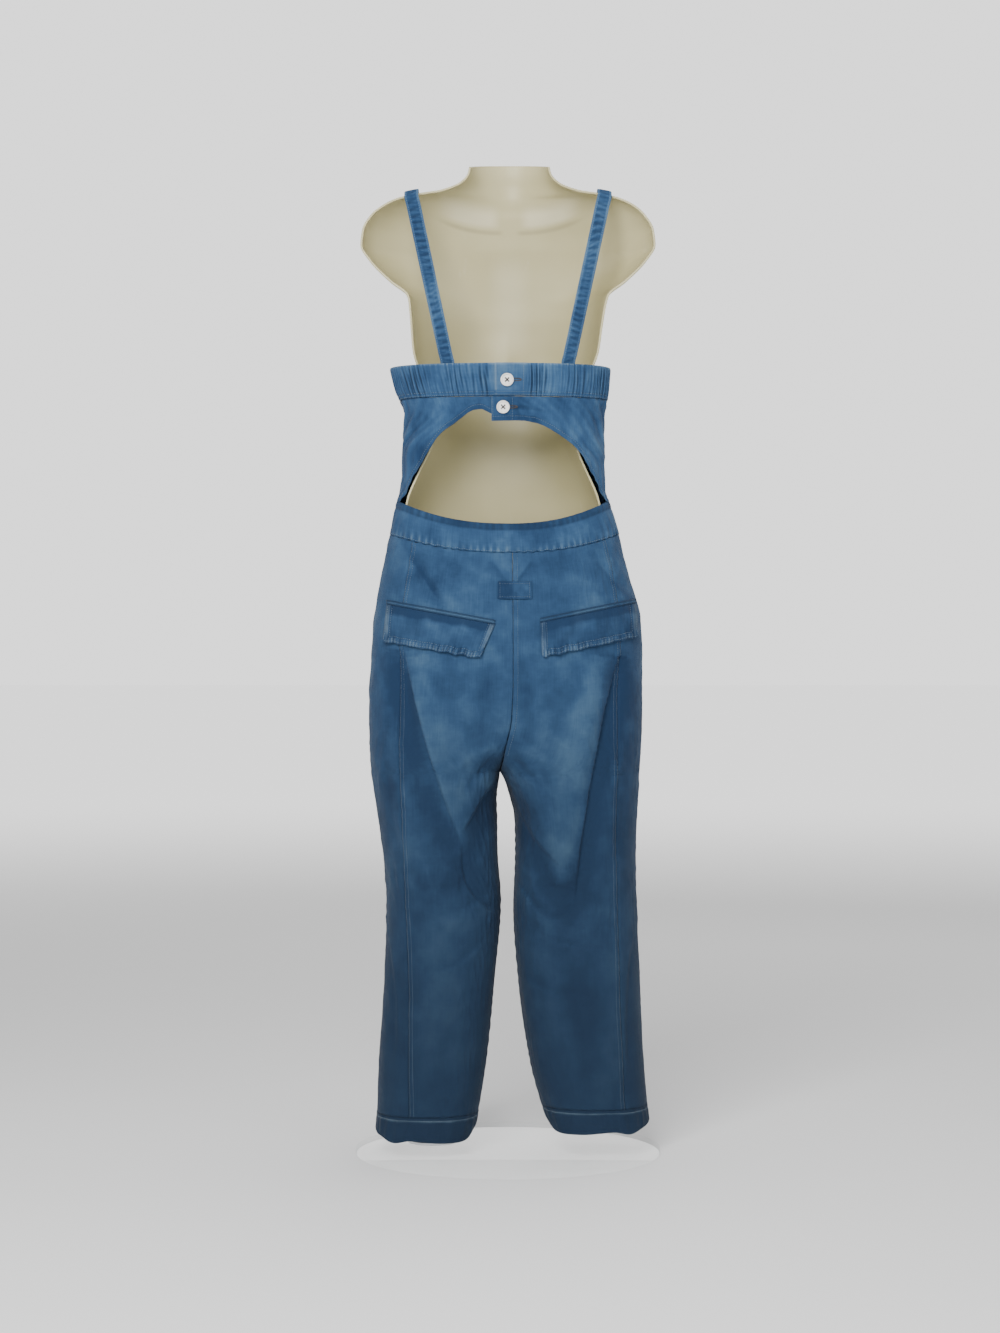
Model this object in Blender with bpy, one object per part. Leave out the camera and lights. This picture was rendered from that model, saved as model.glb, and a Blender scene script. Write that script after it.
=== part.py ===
"""Sleeveless denim jumpsuit with an open back, on a hollow-back torso form and its stand.

Metres, +Z up. The garment's back faces -Y, its front faces +Y and the wearer's right is +X.
The origin is on the floor, under the middle of the round base.
"""

import math

import bmesh
import bpy
import numpy as np
from mathutils import Vector
from mathutils.bvhtree import BVHTree

for old_object in list(bpy.data.objects):
    bpy.data.objects.remove(old_object)

# Cloth thicknesses
CLOTH = 0.0016
BAND_CLOTH = 0.0022
STRAP_CLOTH = 0.0024
FLAP_CLOTH = 0.0020

# Half of the gap between two sewn pieces, and the gap between a piece and what it lies on
SEAM = 0.0002
LIFT = 0.0004
FLAP_LIFT = 0.0005

# Heights of the seams that run round the body, where they meet the side seams
HEM_BOTTOM = {"left": 0.022, "right": 0.034}
HEM_TOP = {"left": 0.056, "right": 0.066}
CROTCH = 0.5247
WAISTBAND_BOTTOM = 0.852
WAISTBAND_TOP = 0.899
BAND_BOTTOM = 1.0380
BAND_TOP = 1.0830

# How square the round sections are: 2 is an ellipse
SQUARENESS = 2.3
FORM_SQUARENESS = 2.3

# Segments of each panel across its width
BACK_SEGMENTS = 10
SIDE_SEGMENTS = 4
FRONT_SEGMENTS = 7

# Overlap of the back opening: the left piece runs under to UNDER_END, the right piece starts at its edge
UNDER_END = 0.010
BAND_LAP_EDGE = -0.018
PANEL_LAP_EDGE = -0.023
LAP_FADE_START = 0.014
LAP_FADE_END = 0.036
PLACKET_FLAT_TO = 0.021

# Gathers of the elastic back band
BAND_GATHERS = 12
GATHER_DEPTH = 0.0011

# Shoulder straps
STRAP_WIDTH = 0.0195
STRAP_TUCK = 0.014
STRAP_BACK_X = 0.0840
STRAP_SHOULDER_X = 0.1330
STRAP_FRONT_X = 0.0850

# Buttons
BUTTON_RADIUS = 0.0090
BUTTON_THICKNESS = 0.0032
BUTTON_RIM = 0.0018
BUTTON_DISH = 0.0008

# Torso form and its stand
SHELL = 0.0030
PLATE_Z = 0.636
PLATE_THICKNESS = 0.006
PLATE_CLEARANCE = 0.0006
POLE_X = -0.105
POLE_Y = 0.034
POLE_RADIUS = 0.0125
FLANGE_RADIUS = 0.028
FLANGE_THICKNESS = 0.004
SOCKET_RADIUS = 0.022
SOCKET_FOOT_RADIUS = 0.034
SOCKET_HEIGHT = 0.030
SOCKET_FOOT_HEIGHT = 0.004
SOCKET_CLEARANCE = 0.0003
BASE_RADIUS = 0.210
BASE_THICKNESS = 0.008
BASE_EDGE = 0.002


def smooth_slopes(places, values):
    """Slopes that keep a curve through the values from overshooting."""
    steps = np.diff(values) / np.diff(places)
    together = steps[1:] * steps[:-1]
    total = steps[1:] + steps[:-1]
    inner = np.where(together > 0, 2 * together / np.where(total == 0, 1, total), 0)
    return np.concatenate([steps[:1], inner, steps[-1:]])


class Table:
    """Rows of named sizes. at(name, place) reads a column on a smooth curve through the rows."""

    def __init__(self, columns, rows):
        rows = np.array(rows, float)
        self.places = rows[:, 0]
        self.values = dict(zip(columns.split()[1:], rows.T[1:]))
        self.slopes = {n: smooth_slopes(self.places, v) for n, v in self.values.items()}

    def at(self, name, place):
        places, values, slopes = self.places, self.values[name], self.slopes[name]
        i = int(np.clip(np.searchsorted(places, place) - 1, 0, len(places) - 2))
        span = places[i + 1] - places[i]
        t = min(max((place - places[i]) / span, 0.0), 1.0)
        start, end = values[i], values[i + 1]
        rise_start, rise_end = slopes[i] * span, slopes[i + 1] * span
        return (
            (2 * t**3 - 3 * t**2 + 1) * start
            + (t**3 - 2 * t**2 + t) * rise_start
            + (3 * t**2 - 2 * t**3) * end
            + (t**3 - t**2) * rise_end
        )


def unit(vectors):
    return vectors / np.linalg.norm(vectors, axis=-1, keepdims=True)


def smooth_step(low, high, value):
    t = min(max((value - low) / (high - low), 0.0), 1.0)
    return t * t * (3 - 2 * t)


# Each half of the garment, from hem to top band. out is the side edge, mid the middle of the leg's ring
# (the middle of the body above the hips), y its depth place, back and front its half depths, and seam the
# place of the seam between the back and side panels.
HALVES = {
    "left": Table(
        "z out mid y back front seam",
        [
            (0.022, -0.1825, -0.1150, 0.012, 0.070, 0.066, -0.1340),
            (0.047, -0.1815, -0.1120, 0.012, 0.071, 0.067, -0.1340),
            (0.127, -0.1785, -0.1040, 0.012, 0.073, 0.069, -0.1360),
            (0.238, -0.1715, -0.0950, 0.012, 0.079, 0.072, -0.1370),
            (0.348, -0.1680, -0.0888, 0.013, 0.085, 0.076, -0.1400),
            (0.403, -0.1720, -0.0928, 0.014, 0.094, 0.080, -0.1420),
            (0.4585, -0.1794, -0.0970, 0.015, 0.102, 0.084, -0.1440),
            (0.500, -0.1855, -0.1000, 0.016, 0.108, 0.088, -0.1460),
            (0.5247, -0.1890, -0.1000, 0.017, 0.111, 0.091, -0.1470),
            (0.569, -0.1920, -0.0700, 0.019, 0.116, 0.098, -0.1490),
            (0.624, -0.1930, -0.0280, 0.021, 0.121, 0.104, -0.1500),
            (0.679, -0.1900, 0.0030, 0.021, 0.122, 0.107, -0.1490),
            (0.7345, -0.1860, 0.0070, 0.022, 0.118, 0.102, -0.1460),
            (0.790, -0.1770, 0.0070, 0.024, 0.108, 0.096, -0.1390),
            (0.828, -0.1690, 0.0065, 0.025, 0.101, 0.090, -0.1340),
            (0.852, -0.1640, 0.0060, 0.025, 0.098, 0.0875, -0.1310),
            (0.878, -0.1590, 0.0040, 0.025, 0.096, 0.0855, -0.1280),
            (0.899, -0.1535, 0.0010, 0.025, 0.092, 0.0840, -0.1250),
            (0.919, -0.1480, -0.0020, 0.025, 0.088, 0.0820, -0.1200),
            (0.969, -0.1465, -0.0035, 0.026, 0.086, 0.0800, -0.1200),
            (1.019, -0.1440, -0.0040, 0.028, 0.088, 0.0820, -0.1200),
            (1.038, -0.1500, -0.0040, 0.029, 0.092, 0.0835, -0.1200),
            (1.052, -0.1560, -0.0040, 0.030, 0.096, 0.0850, -0.1200),
            (1.083, -0.1640, -0.0040, 0.030, 0.100, 0.0870, -0.1200),
        ],
    ),
    "right": Table(
        "z out mid y back front seam",
        [
            (0.034, 0.1945, 0.1250, 0.012, 0.070, 0.066, 0.1600),
            (0.047, 0.1940, 0.1230, 0.012, 0.071, 0.067, 0.1600),
            (0.127, 0.1875, 0.1090, 0.012, 0.073, 0.069, 0.1560),
            (0.238, 0.1825, 0.0985, 0.012, 0.079, 0.072, 0.1500),
            (0.348, 0.1780, 0.0930, 0.013, 0.085, 0.076, 0.1490),
            (0.403, 0.1768, 0.0935, 0.014, 0.094, 0.080, 0.1480),
            (0.4585, 0.1785, 0.0940, 0.015, 0.102, 0.084, 0.1480),
            (0.500, 0.1810, 0.0905, 0.016, 0.108, 0.088, 0.1490),
            (0.5247, 0.1820, 0.0855, 0.017, 0.111, 0.091, 0.1500),
            (0.569, 0.1850, 0.0620, 0.019, 0.116, 0.098, 0.1510),
            (0.624, 0.1863, 0.0300, 0.021, 0.121, 0.104, 0.1520),
            (0.679, 0.1863, 0.0090, 0.021, 0.122, 0.107, 0.1530),
            (0.7345, 0.1840, 0.0070, 0.022, 0.118, 0.102, 0.1520),
            (0.790, 0.1700, 0.0070, 0.024, 0.108, 0.096, 0.1460),
            (0.828, 0.1590, 0.0065, 0.025, 0.101, 0.090, 0.1380),
            (0.852, 0.1540, 0.0060, 0.025, 0.098, 0.0875, 0.1330),
            (0.878, 0.1470, 0.0040, 0.025, 0.096, 0.0855, 0.1280),
            (0.899, 0.1395, 0.0010, 0.025, 0.092, 0.0840, 0.1250),
            (0.919, 0.1345, -0.0020, 0.025, 0.088, 0.0820, 0.1200),
            (0.969, 0.1340, -0.0035, 0.026, 0.086, 0.0800, 0.1200),
            (1.019, 0.1335, -0.0040, 0.028, 0.088, 0.0820, 0.1200),
            (1.038, 0.1380, -0.0040, 0.029, 0.092, 0.0835, 0.1200),
            (1.052, 0.1400, -0.0040, 0.030, 0.096, 0.0850, 0.1200),
            (1.083, 0.1425, -0.0040, 0.030, 0.100, 0.0870, 0.1200),
        ],
    ),
}
SIGN = {"left": -1, "right": 1}

# The centre seam, from the crotch up
CENTRE = Table(
    "z x",
    [(0.5247, -0.0110), (0.560, -0.0030), (0.600, 0.0050), (0.660, 0.0070), (0.852, 0.0060)],
)

# How square the inner half of a leg is: nearly flat where the two legs meet
INSEAM = Table(
    "z squareness",
    [(0.300, 2.3), (0.420, 2.5), (0.5247, 3.0), (0.600, 2.9), (0.680, 2.3)],
)

# How far the back waist dips below the side seams, and how far the front neckline rises above them
BACK_DIP = Table(
    "z dip",
    [(0.680, 0.0), (0.790, 0.014), (0.852, 0.027), (0.899, 0.034), (0.940, 0.010), (0.980, 0.0)],
)
FRONT_RISE = Table("z rise", [(0.950, 0.0), (1.038, 0.018), (1.083, 0.028)])

# Lower edge of the open back, from the centre out to each side seam
ARCH = {
    "left": Table(
        "x z",
        [
            (-0.1470, WAISTBAND_TOP),
            (-0.1444, 0.9055),
            (-0.1369, 0.9265),
            (-0.1257, 0.9463),
            (-0.1088, 0.9707),
            (-0.0922, 0.9917),
            (-0.0769, 1.0019),
            (-0.0632, 1.0119),
            (-0.0493, 1.0193),
            (-0.0388, 1.0208),
            (-0.0232, 1.0145),
            (0.0110, 1.0080),
        ],
    ),
    "right": Table(
        "x z",
        [
            (-0.0240, 1.0045),
            (0.0150, 1.0050),
            (0.0360, 1.0032),
            (0.0473, 0.9993),
            (0.0621, 0.9923),
            (0.0790, 0.9817),
            (0.0941, 0.9720),
            (0.1036, 0.9616),
            (0.1129, 0.9464),
            (0.1283, 0.9205),
            (0.1345, WAISTBAND_TOP),
        ],
    ),
}

# The bust of the form and of the front bodice
BUST_X = 0.066
BUST_Z = 1.085
BUST_WIDTH = 0.050
BUST_HEIGHT = 0.052
BUST_DEPTH = 0.018

# The largest folds, as curves in the picture plane: start, bend and end, half width, and how far the cloth
# stands out (or sinks in, below zero)
FOLD_COLUMNS = "x0 z0 x1 z1 x2 z2 width out"
BACK_FOLDS = [
    (-0.154, 0.700, -0.130, 0.520, -0.041, 0.345, 0.017, -0.0085),
    (-0.128, 0.690, -0.104, 0.520, -0.060, 0.395, 0.021, 0.0065),
    (-0.018, 0.505, -0.035, 0.450, -0.064, 0.390, 0.015, -0.0050),
    (-0.120, 0.340, -0.150, 0.220, -0.152, 0.080, 0.019, -0.0035),
    (-0.085, 0.330, -0.095, 0.200, -0.080, 0.080, 0.024, 0.0030),
    (0.152, 0.690, 0.118, 0.500, 0.075, 0.290, 0.017, -0.0085),
    (0.126, 0.690, 0.098, 0.530, 0.068, 0.370, 0.022, 0.0065),
    (0.002, 0.512, 0.028, 0.430, 0.072, 0.345, 0.015, -0.0050),
    (0.090, 0.290, 0.098, 0.200, 0.112, 0.110, 0.019, -0.0035),
    (0.140, 0.320, 0.150, 0.200, 0.160, 0.090, 0.022, 0.0030),
]
FRONT_FOLDS = [
    (-0.150, 0.640, -0.110, 0.520, -0.050, 0.400, 0.020, -0.0060),
    (-0.025, 0.500, -0.060, 0.430, -0.090, 0.340, 0.018, -0.0045),
    (-0.090, 0.300, -0.100, 0.200, -0.110, 0.090, 0.022, 0.0030),
    (0.150, 0.640, 0.115, 0.510, 0.060, 0.380, 0.020, -0.0060),
    (0.010, 0.500, 0.045, 0.420, 0.080, 0.330, 0.018, -0.0045),
    (0.100, 0.300, 0.110, 0.200, 0.120, 0.090, 0.022, 0.0030),
]
FOLD_STEPS = 48

# Steps of angle and height over which the outer face's slope is taken
TURN_STEP = 0.02
RISE_STEP = 0.004


def fold_curve(row):
    """Points along one fold, with how strong it is at each."""
    fold = dict(zip(FOLD_COLUMNS.split(), row))
    t = np.linspace(0, 1, FOLD_STEPS)
    across, bend, end = (1 - t) ** 2, 2 * t * (1 - t), t**2
    x = across * fold["x0"] + bend * fold["x1"] + end * fold["x2"]
    z = across * fold["z0"] + bend * fold["z1"] + end * fold["z2"]
    return x, z, np.sin(math.pi * t) ** 0.5 * fold["out"], fold["width"]


FOLD_CURVES = {
    "back": [fold_curve(row) for row in BACK_FOLDS],
    "front": [fold_curve(row) for row in FRONT_FOLDS],
}


def fold_offset(face, x, z):
    """How far the folds on the back or front face push the cloth out at a point."""
    total = 0.0
    for xs, zs, strengths, width in FOLD_CURVES[face]:
        away = np.hypot(xs - x, zs - z)
        nearest = int(np.argmin(away))
        total += strengths[nearest] * math.exp(-((away[nearest] / width) ** 2))
    return total


def bust_offset(x, z):
    across = (abs(x) - BUST_X) / BUST_WIDTH
    up = (z - BUST_Z) / BUST_HEIGHT
    return BUST_DEPTH * math.exp(-(across**2) - up**2)


def body_point(side, angle, z, out=0.0):
    """A point of the garment's outer face, out metres outside it.

    angle is 0 at the inner leg, a quarter turn at the back, a half turn at the side seam and three
    quarters at the front.
    """
    table, sign = HALVES[side], SIGN[side]
    middle = table.at("mid", z)
    reach = sign * (table.at("out", z) - middle)
    at_back = angle < math.pi
    depth = table.at("back" if at_back else "front", z)
    cosine, sine = math.cos(angle), math.sin(angle)
    square = INSEAM.at("squareness", z) if cosine > 0 else SQUARENESS
    across = -math.copysign(abs(cosine) ** (2 / square), cosine) * reach
    deep = math.copysign(abs(sine) ** (2 / square), sine) * depth
    x = middle + sign * across
    facing = min(1.0, 1.6 * abs(sine))
    out += facing * fold_offset("back" if at_back else "front", x, z)
    normal = Vector((sign * across / reach**2, -deep / depth**2)).normalized()
    x += out * normal.x
    y = table.at("y", z) - deep + out * normal.y
    if at_back:
        z -= BACK_DIP.at("dip", z) * sine**2
    else:
        y += bust_offset(x, z) * sine**2
        z += FRONT_RISE.at("rise", z) * sine**2
    return np.array((x, y, z))


def angle_at(side, x, z):
    """The angle on the back face at which the outer face has this x."""
    table, sign = HALVES[side], SIGN[side]
    middle = table.at("mid", z)
    share = sign * (x - middle) / (sign * (table.at("out", z) - middle))
    share = min(max(share, -1.0), 1.0)
    square = INSEAM.at("squareness", z) if share < 0 else SQUARENESS
    return math.acos(-math.copysign(abs(share) ** (square / 2), share))


def body_normal(side, angle, z):
    """The way the outer face looks at a point."""
    beside = body_point(side, angle + TURN_STEP, z) - body_point(side, angle - TURN_STEP, z)
    above = body_point(side, angle, z + RISE_STEP) - body_point(side, angle, z - RISE_STEP)
    return unit(np.cross(beside, above)) * SIGN[side]


def leg_angles(side, z):
    """Column angles of one half: back panel, side panel, front panel."""
    start = angle_at(side, CENTRE.at("x", z), z) if z > CROTCH else 0.0
    seam = angle_at(side, HALVES[side].at("seam", z), z)
    back = np.linspace(start, seam, BACK_SEGMENTS + 1)
    around = np.linspace(seam, 2 * math.pi - seam, SIDE_SEGMENTS + 1)
    front = np.linspace(2 * math.pi - seam, 2 * math.pi - start, FRONT_SEGMENTS + 1)
    return np.concatenate([back, around[1:], front[1:]])


def leg_heights(side):
    """Rows of the trousers: even on the leg, close together at the crotch."""
    leg = np.linspace(HEM_TOP[side], 0.470, 13)
    crotch = [0.500, CROTCH, 0.5300, 0.5390, 0.5530, 0.5740]
    seat = np.linspace(0.605, WAISTBAND_BOTTOM, 9)
    return np.concatenate([leg, crotch, seat])


def trouser_grids():
    """Outer points and outward normals of both halves, with the two sharing the centre seam."""
    points, normals = {}, {}
    for side in HALVES:
        places = [[(side, a, z) for a in leg_angles(side, z)] for z in leg_heights(side)]
        points[side] = np.array([[body_point(*place) for place in row] for row in places])
        normals[side] = np.array([[body_normal(*place) for place in row] for row in places])
    first_shared = list(leg_heights("left")).index(CROTCH)
    for grid in (points, normals):
        for column in (0, -1):
            shared = (grid["left"][first_shared:, column] + grid["right"][first_shared:, column]) / 2
            grid["left"][first_shared:, column] = shared
            grid["right"][first_shared:, column] = shared
        for side in HALVES:
            inseam = (grid[side][: first_shared + 1, 0] + grid[side][: first_shared + 1, -1]) / 2
            grid[side][: first_shared + 1, 0] = inseam
            grid[side][: first_shared + 1, -1] = inseam
    return points, {side: unit(n) for side, n in normals.items()}


def pulled_back(points, gaps):
    """The grid with its borders drawn in: gaps are for the left, right, bottom and top borders."""
    points = points.copy()
    left, right, bottom, top = gaps
    for axis, low, high in ((1, left, right), (0, bottom, top)):
        view = np.moveaxis(points, axis, 0)
        view[0] += unit(view[1] - view[0]) * low
        view[-1] += unit(view[-2] - view[-1]) * high
    return points


def make_material(name, colour, roughness, metallic=0.0, alpha=1.0):
    material = bpy.data.materials.new(name)
    material.use_nodes = True
    shader = material.node_tree.nodes["Principled BSDF"]
    shader.inputs["Base Color"].default_value = (*colour, 1.0)
    shader.inputs["Roughness"].default_value = roughness
    shader.inputs["Metallic"].default_value = metallic
    shader.inputs["Alpha"].default_value = alpha
    return material


DENIM = make_material("denim", (0.105, 0.215, 0.365), 0.85)
DENIM_TRIM = make_material("denim_trim", (0.120, 0.245, 0.410), 0.85)
BUTTON = make_material("button", (0.80, 0.80, 0.78), 0.30)
PLASTIC = make_material("form_plastic", (0.45, 0.42, 0.30), 0.42)
STEEL = make_material("steel", (0.62, 0.63, 0.65), 0.28, metallic=1.0)
GLASS = make_material("glass", (0.86, 0.94, 0.92), 0.05, alpha=0.35)


def add_object(name, mesh, material, smooth=True):
    mesh.materials.append(material)
    if smooth:
        mesh.shade_smooth()
        mesh.set_sharp_from_angle(angle=math.radians(40))
    made = bpy.data.objects.new(name, mesh)
    bpy.context.scene.collection.objects.link(made)
    return made


def finished_mesh(name, builder):
    """The mesh of a bmesh whose faces are turned outwards."""
    bmesh.ops.recalc_face_normals(builder, faces=builder.faces)
    mesh = bpy.data.meshes.new(name)
    builder.to_mesh(mesh)
    builder.free()
    return mesh


def wall_body(outer, inner, ring=False):
    """A closed body between two grids of points. A ring's last column joins its first."""
    builder = bmesh.new()
    grids = [[[builder.verts.new(p) for p in row] for row in grid] for grid in (outer, inner)]
    rows, columns = len(outer), len(outer[0])
    spans = [(j, (j + 1) % columns) for j in range(columns if ring else columns - 1)]
    for grid in grids:
        for i in range(rows - 1):
            for j, k in spans:
                builder.faces.new((grid[i][j], grid[i][k], grid[i + 1][k], grid[i + 1][j]))
    outside, inside = grids
    for i in (0, rows - 1):
        for j, k in spans:
            builder.faces.new((outside[i][j], outside[i][k], inside[i][k], inside[i][j]))
    if not ring:
        for j in (0, columns - 1):
            for i in range(rows - 1):
                builder.faces.new((outside[i][j], outside[i + 1][j], inside[i + 1][j], inside[i][j]))
    return builder


def wall(name, outer, inner, material, ring=False):
    """The same body as an object."""
    return add_object(name, finished_mesh(name, wall_body(outer, inner, ring)), material)


def cloth_panel(name, points, normals, gaps, thickness, material=DENIM, out=0.0):
    """A cloth wall whose outer face lies on the points, moved out, and whose borders are drawn in."""
    outer = pulled_back(points + normals * out, gaps)
    inner = pulled_back(points + normals * (out - thickness), gaps)
    return wall(name, outer, inner, material)


def make_legs(points, normals):
    """Back, side and front panel of each leg."""
    ends = {
        "back": (0, BACK_SEGMENTS),
        "side": (BACK_SEGMENTS, BACK_SEGMENTS + SIDE_SEGMENTS),
        "front": (BACK_SEGMENTS + SIDE_SEGMENTS, BACK_SEGMENTS + SIDE_SEGMENTS + FRONT_SEGMENTS),
    }
    for side in HALVES:
        for place, (first, last) in ends.items():
            cut = (slice(None), slice(first, last + 1))
            gaps = (SEAM, SEAM, SEAM, SEAM)
            cloth_panel(f"leg_{place}_{side}", points[side][cut], normals[side][cut], gaps, CLOTH)


HEM_ROWS = 3
HEM_FLARE = 0.0015
HEM_WAVE = 0.0016
HEM_WAVES = 5


def make_hem(side):
    """The turned-up hem band, a ring a little proud of the leg, with a softly waved lower edge."""
    heights = np.linspace(HEM_TOP[side] - 2 * SEAM, HEM_BOTTOM[side], HEM_ROWS)
    outer, inner = [], []
    for row, z in enumerate(heights):
        share = row / (HEM_ROWS - 1)
        angles = leg_angles(side, z)[:-1]
        out = HEM_FLARE * share + 0.0003
        points = np.array([body_point(side, a, z, out) for a in angles])
        core = np.array([body_point(side, a, z, out - BAND_CLOTH) for a in angles])
        wave = HEM_WAVE * share * np.sin(HEM_WAVES * angles)
        points[:, 2] += wave
        core[:, 2] += wave
        outer.append(points)
        inner.append(core)
    return wall(f"hem_{side}", outer, inner, DENIM, ring=True)


def round_columns(back, segments):
    """(side, angle) of columns from the left side seam to the right one, by the back or the front."""
    quarter, half = math.pi / 2, math.pi
    if back:
        left, right = np.linspace(half, quarter, segments), np.linspace(quarter, half, segments)
    else:
        left, right = np.linspace(half, 3 * quarter, segments), np.linspace(3 * quarter, half, segments)
    return [("left", a) for a in left] + [("right", a) for a in right[1:]]


def body_patch(name, columns, heights, thickness, material=DENIM):
    """A cloth wall over columns of (side, angle) and rows of heights."""
    points = np.array([[body_point(side, angle, z) for side, angle in columns] for z in heights])
    normals = np.array([[body_normal(side, angle, z) for side, angle in columns] for z in heights])
    return cloth_panel(name, points, normals, (SEAM, SEAM, SEAM, SEAM), thickness, material)


WAISTBAND_SEGMENTS = 12
BODICE_SEGMENTS = 11
BODICE_ROWS = 7
BAND_HEIGHTS = (BAND_BOTTOM, BAND_BOTTOM + 0.022, BAND_TOP)
BAND_GATHERED = (0.4, 1.0, 0.5)


def make_waistband():
    heights = np.linspace(WAISTBAND_BOTTOM, WAISTBAND_TOP, 3)
    body_patch("waistband_back", round_columns(True, WAISTBAND_SEGMENTS), heights, BAND_CLOTH)
    body_patch("waistband_front", round_columns(False, WAISTBAND_SEGMENTS), heights, BAND_CLOTH)


def make_front_bodice():
    heights = np.linspace(WAISTBAND_TOP, BAND_BOTTOM, BODICE_ROWS)
    body_patch("bodice_front", round_columns(False, BODICE_SEGMENTS), heights, CLOTH)
    body_patch("band_front", round_columns(False, BODICE_SEGMENTS), BAND_HEIGHTS, BAND_CLOTH)


def lap_offset(side, x, thickness):
    """The right piece steps out over the left one at the back opening."""
    if side == "left":
        return 0.0
    return (thickness + LIFT) * (1 - smooth_step(LAP_FADE_START, LAP_FADE_END, x))


PANEL_COLUMNS = 12


def panel_angles(side, z, count, lap_edge):
    centre_edge = UNDER_END if side == "left" else lap_edge
    return np.linspace(angle_at(side, centre_edge, z), math.pi, count)


def make_back_panel(side):
    """The piece between the back band and the arched lower edge."""
    points, normals = [], []
    for angle in panel_angles(side, BAND_BOTTOM, PANEL_COLUMNS, PANEL_LAP_EDGE):
        x = body_point(side, angle, BAND_BOTTOM)[0]
        heights = np.linspace(ARCH[side].at("z", x), BAND_BOTTOM, BODICE_ROWS)
        lap = lap_offset(side, x, CLOTH)
        points.append([body_point(side, angle, z, lap) for z in heights])
        normals.append([body_normal(side, angle, z) for z in heights])
    points, normals = np.array(points).transpose(1, 0, 2), np.array(normals).transpose(1, 0, 2)
    return cloth_panel(f"back_panel_{side}", points, normals, (0, SEAM, SEAM, SEAM), CLOTH)


def make_back_band(side):
    """One half of the elastic band across the back, gathered from the placket to the side seam."""
    columns_per_wave = 4
    flat_columns = 4
    centre_edge = UNDER_END if side == "left" else BAND_LAP_EDGE
    flat_end = -PLACKET_FLAT_TO if side == "left" else PLACKET_FLAT_TO
    middle = (BAND_BOTTOM + BAND_TOP) / 2
    start, flat = angle_at(side, centre_edge, middle), angle_at(side, flat_end, middle)
    gathered = np.linspace(flat, math.pi, BAND_GATHERS * columns_per_wave + 1)
    angles = np.concatenate([np.linspace(start, flat, flat_columns), gathered[1:]])
    wave = np.zeros(len(angles))
    turns = np.arange(1, len(gathered)) / columns_per_wave
    wave[flat_columns:] = -GATHER_DEPTH * (1 - np.cos(2 * math.pi * turns)) / 2
    rows = []
    for z, share in zip(BAND_HEIGHTS, BAND_GATHERED):
        row = []
        for angle, depth in zip(angles, wave):
            x = body_point(side, angle, z)[0]
            row.append(body_point(side, angle, z, depth * share + lap_offset(side, x, BAND_CLOTH)))
        rows.append(row)
    points = np.array(rows)
    normals = np.array([[body_normal(side, a, z) for a in angles] for z in BAND_HEIGHTS])
    return cloth_panel(f"back_band_{side}", points, normals, (0, SEAM, SEAM, 0), BAND_CLOTH, DENIM_TRIM)


def skin_builder(points):
    """The outer face of the seat, out to the side edges, as one open mesh for the pieces that lie on it."""
    builder = bmesh.new()
    columns = BACK_SEGMENTS + SIDE_SEGMENTS // 2 + 1
    for side in HALVES:
        grid = [[builder.verts.new(p) for p in row[:columns]] for row in points[side]]
        for low, high in zip(grid, grid[1:]):
            for j in range(len(low) - 1):
                quad = (low[j], low[j + 1], high[j + 1], high[j])
                builder.faces.new(quad if side == "right" else quad[::-1])
    bmesh.ops.remove_doubles(builder, verts=builder.verts, dist=1e-6)
    return builder


def piece_on_seat(name, points, outline, thickness, lift, material):
    """The part of the seat inside a convex outline of (x, z) corners, moved out and given a thickness."""
    builder = skin_builder(points)
    corners = [Vector((x, 0.0, z)) for x, z in outline]
    middle = sum(corners, Vector()) / len(corners)
    for corner, after in zip(corners, corners[1:] + corners[:1]):
        normal = (after - corner).cross(Vector((0, 1, 0)))
        if normal.dot(corner - middle) < 0:
            normal.negate()
        bmesh.ops.bisect_plane(
            builder,
            geom=builder.verts[:] + builder.edges[:] + builder.faces[:],
            plane_co=corner,
            plane_no=normal,
            clear_outer=True,
            dist=1e-6,
        )
    builder.normal_update()
    builder.verts.index_update()
    solid = bmesh.new()
    inside = [solid.verts.new(v.co + v.normal * lift) for v in builder.verts]
    outside = [solid.verts.new(v.co + v.normal * (lift + thickness)) for v in builder.verts]
    for face in builder.faces:
        around = [v.index for v in face.verts]
        solid.faces.new([outside[i] for i in around])
        solid.faces.new([inside[i] for i in reversed(around)])
    for edge in builder.edges:
        if edge.is_boundary:
            start, end = (v.index for v in edge.verts)
            solid.faces.new((inside[start], inside[end], outside[end], outside[start]))
    builder.free()
    return add_object(name, finished_mesh(name, solid), material)


# Corners of the pocket flaps, outer end first, as x and z in the picture plane
FLAPS = {
    "left": {
        "outer": (-0.1650, 0.7620),
        "inner": (-0.0175, 0.7340),
        "low_inner": (-0.0350, 0.6815),
        "low_outer": (-0.1670, 0.7045),
    },
    "right": {
        "outer": (0.1740, 0.7640),
        "inner": (0.0430, 0.7365),
        "low_inner": (0.0450, 0.6830),
        "low_outer": (0.1745, 0.7110),
    },
}
WELT_HEIGHT = 0.0065
TAB = {"left": -0.0140, "right": 0.0320, "low": 0.7620, "high": 0.7860}


def make_flaps(points):
    """A welt along each pocket opening, with the flap hanging below it."""
    for side, corner in FLAPS.items():
        drop = Vector((0, -WELT_HEIGHT))
        gap = Vector((0, -2 * SEAM))
        outer, inner = Vector(corner["outer"]), Vector(corner["inner"])
        welt = [outer, inner, inner + drop, outer + drop]
        low_outer, low_inner = Vector(corner["low_outer"]), Vector(corner["low_inner"])
        flap = [outer + drop + gap, inner + drop + gap, low_inner, low_outer]
        piece_on_seat(f"pocket_welt_{side}", points, welt, FLAP_CLOTH * 1.3, FLAP_LIFT, DENIM_TRIM)
        piece_on_seat(f"pocket_flap_{side}", points, flap, FLAP_CLOTH, FLAP_LIFT, DENIM)


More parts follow.
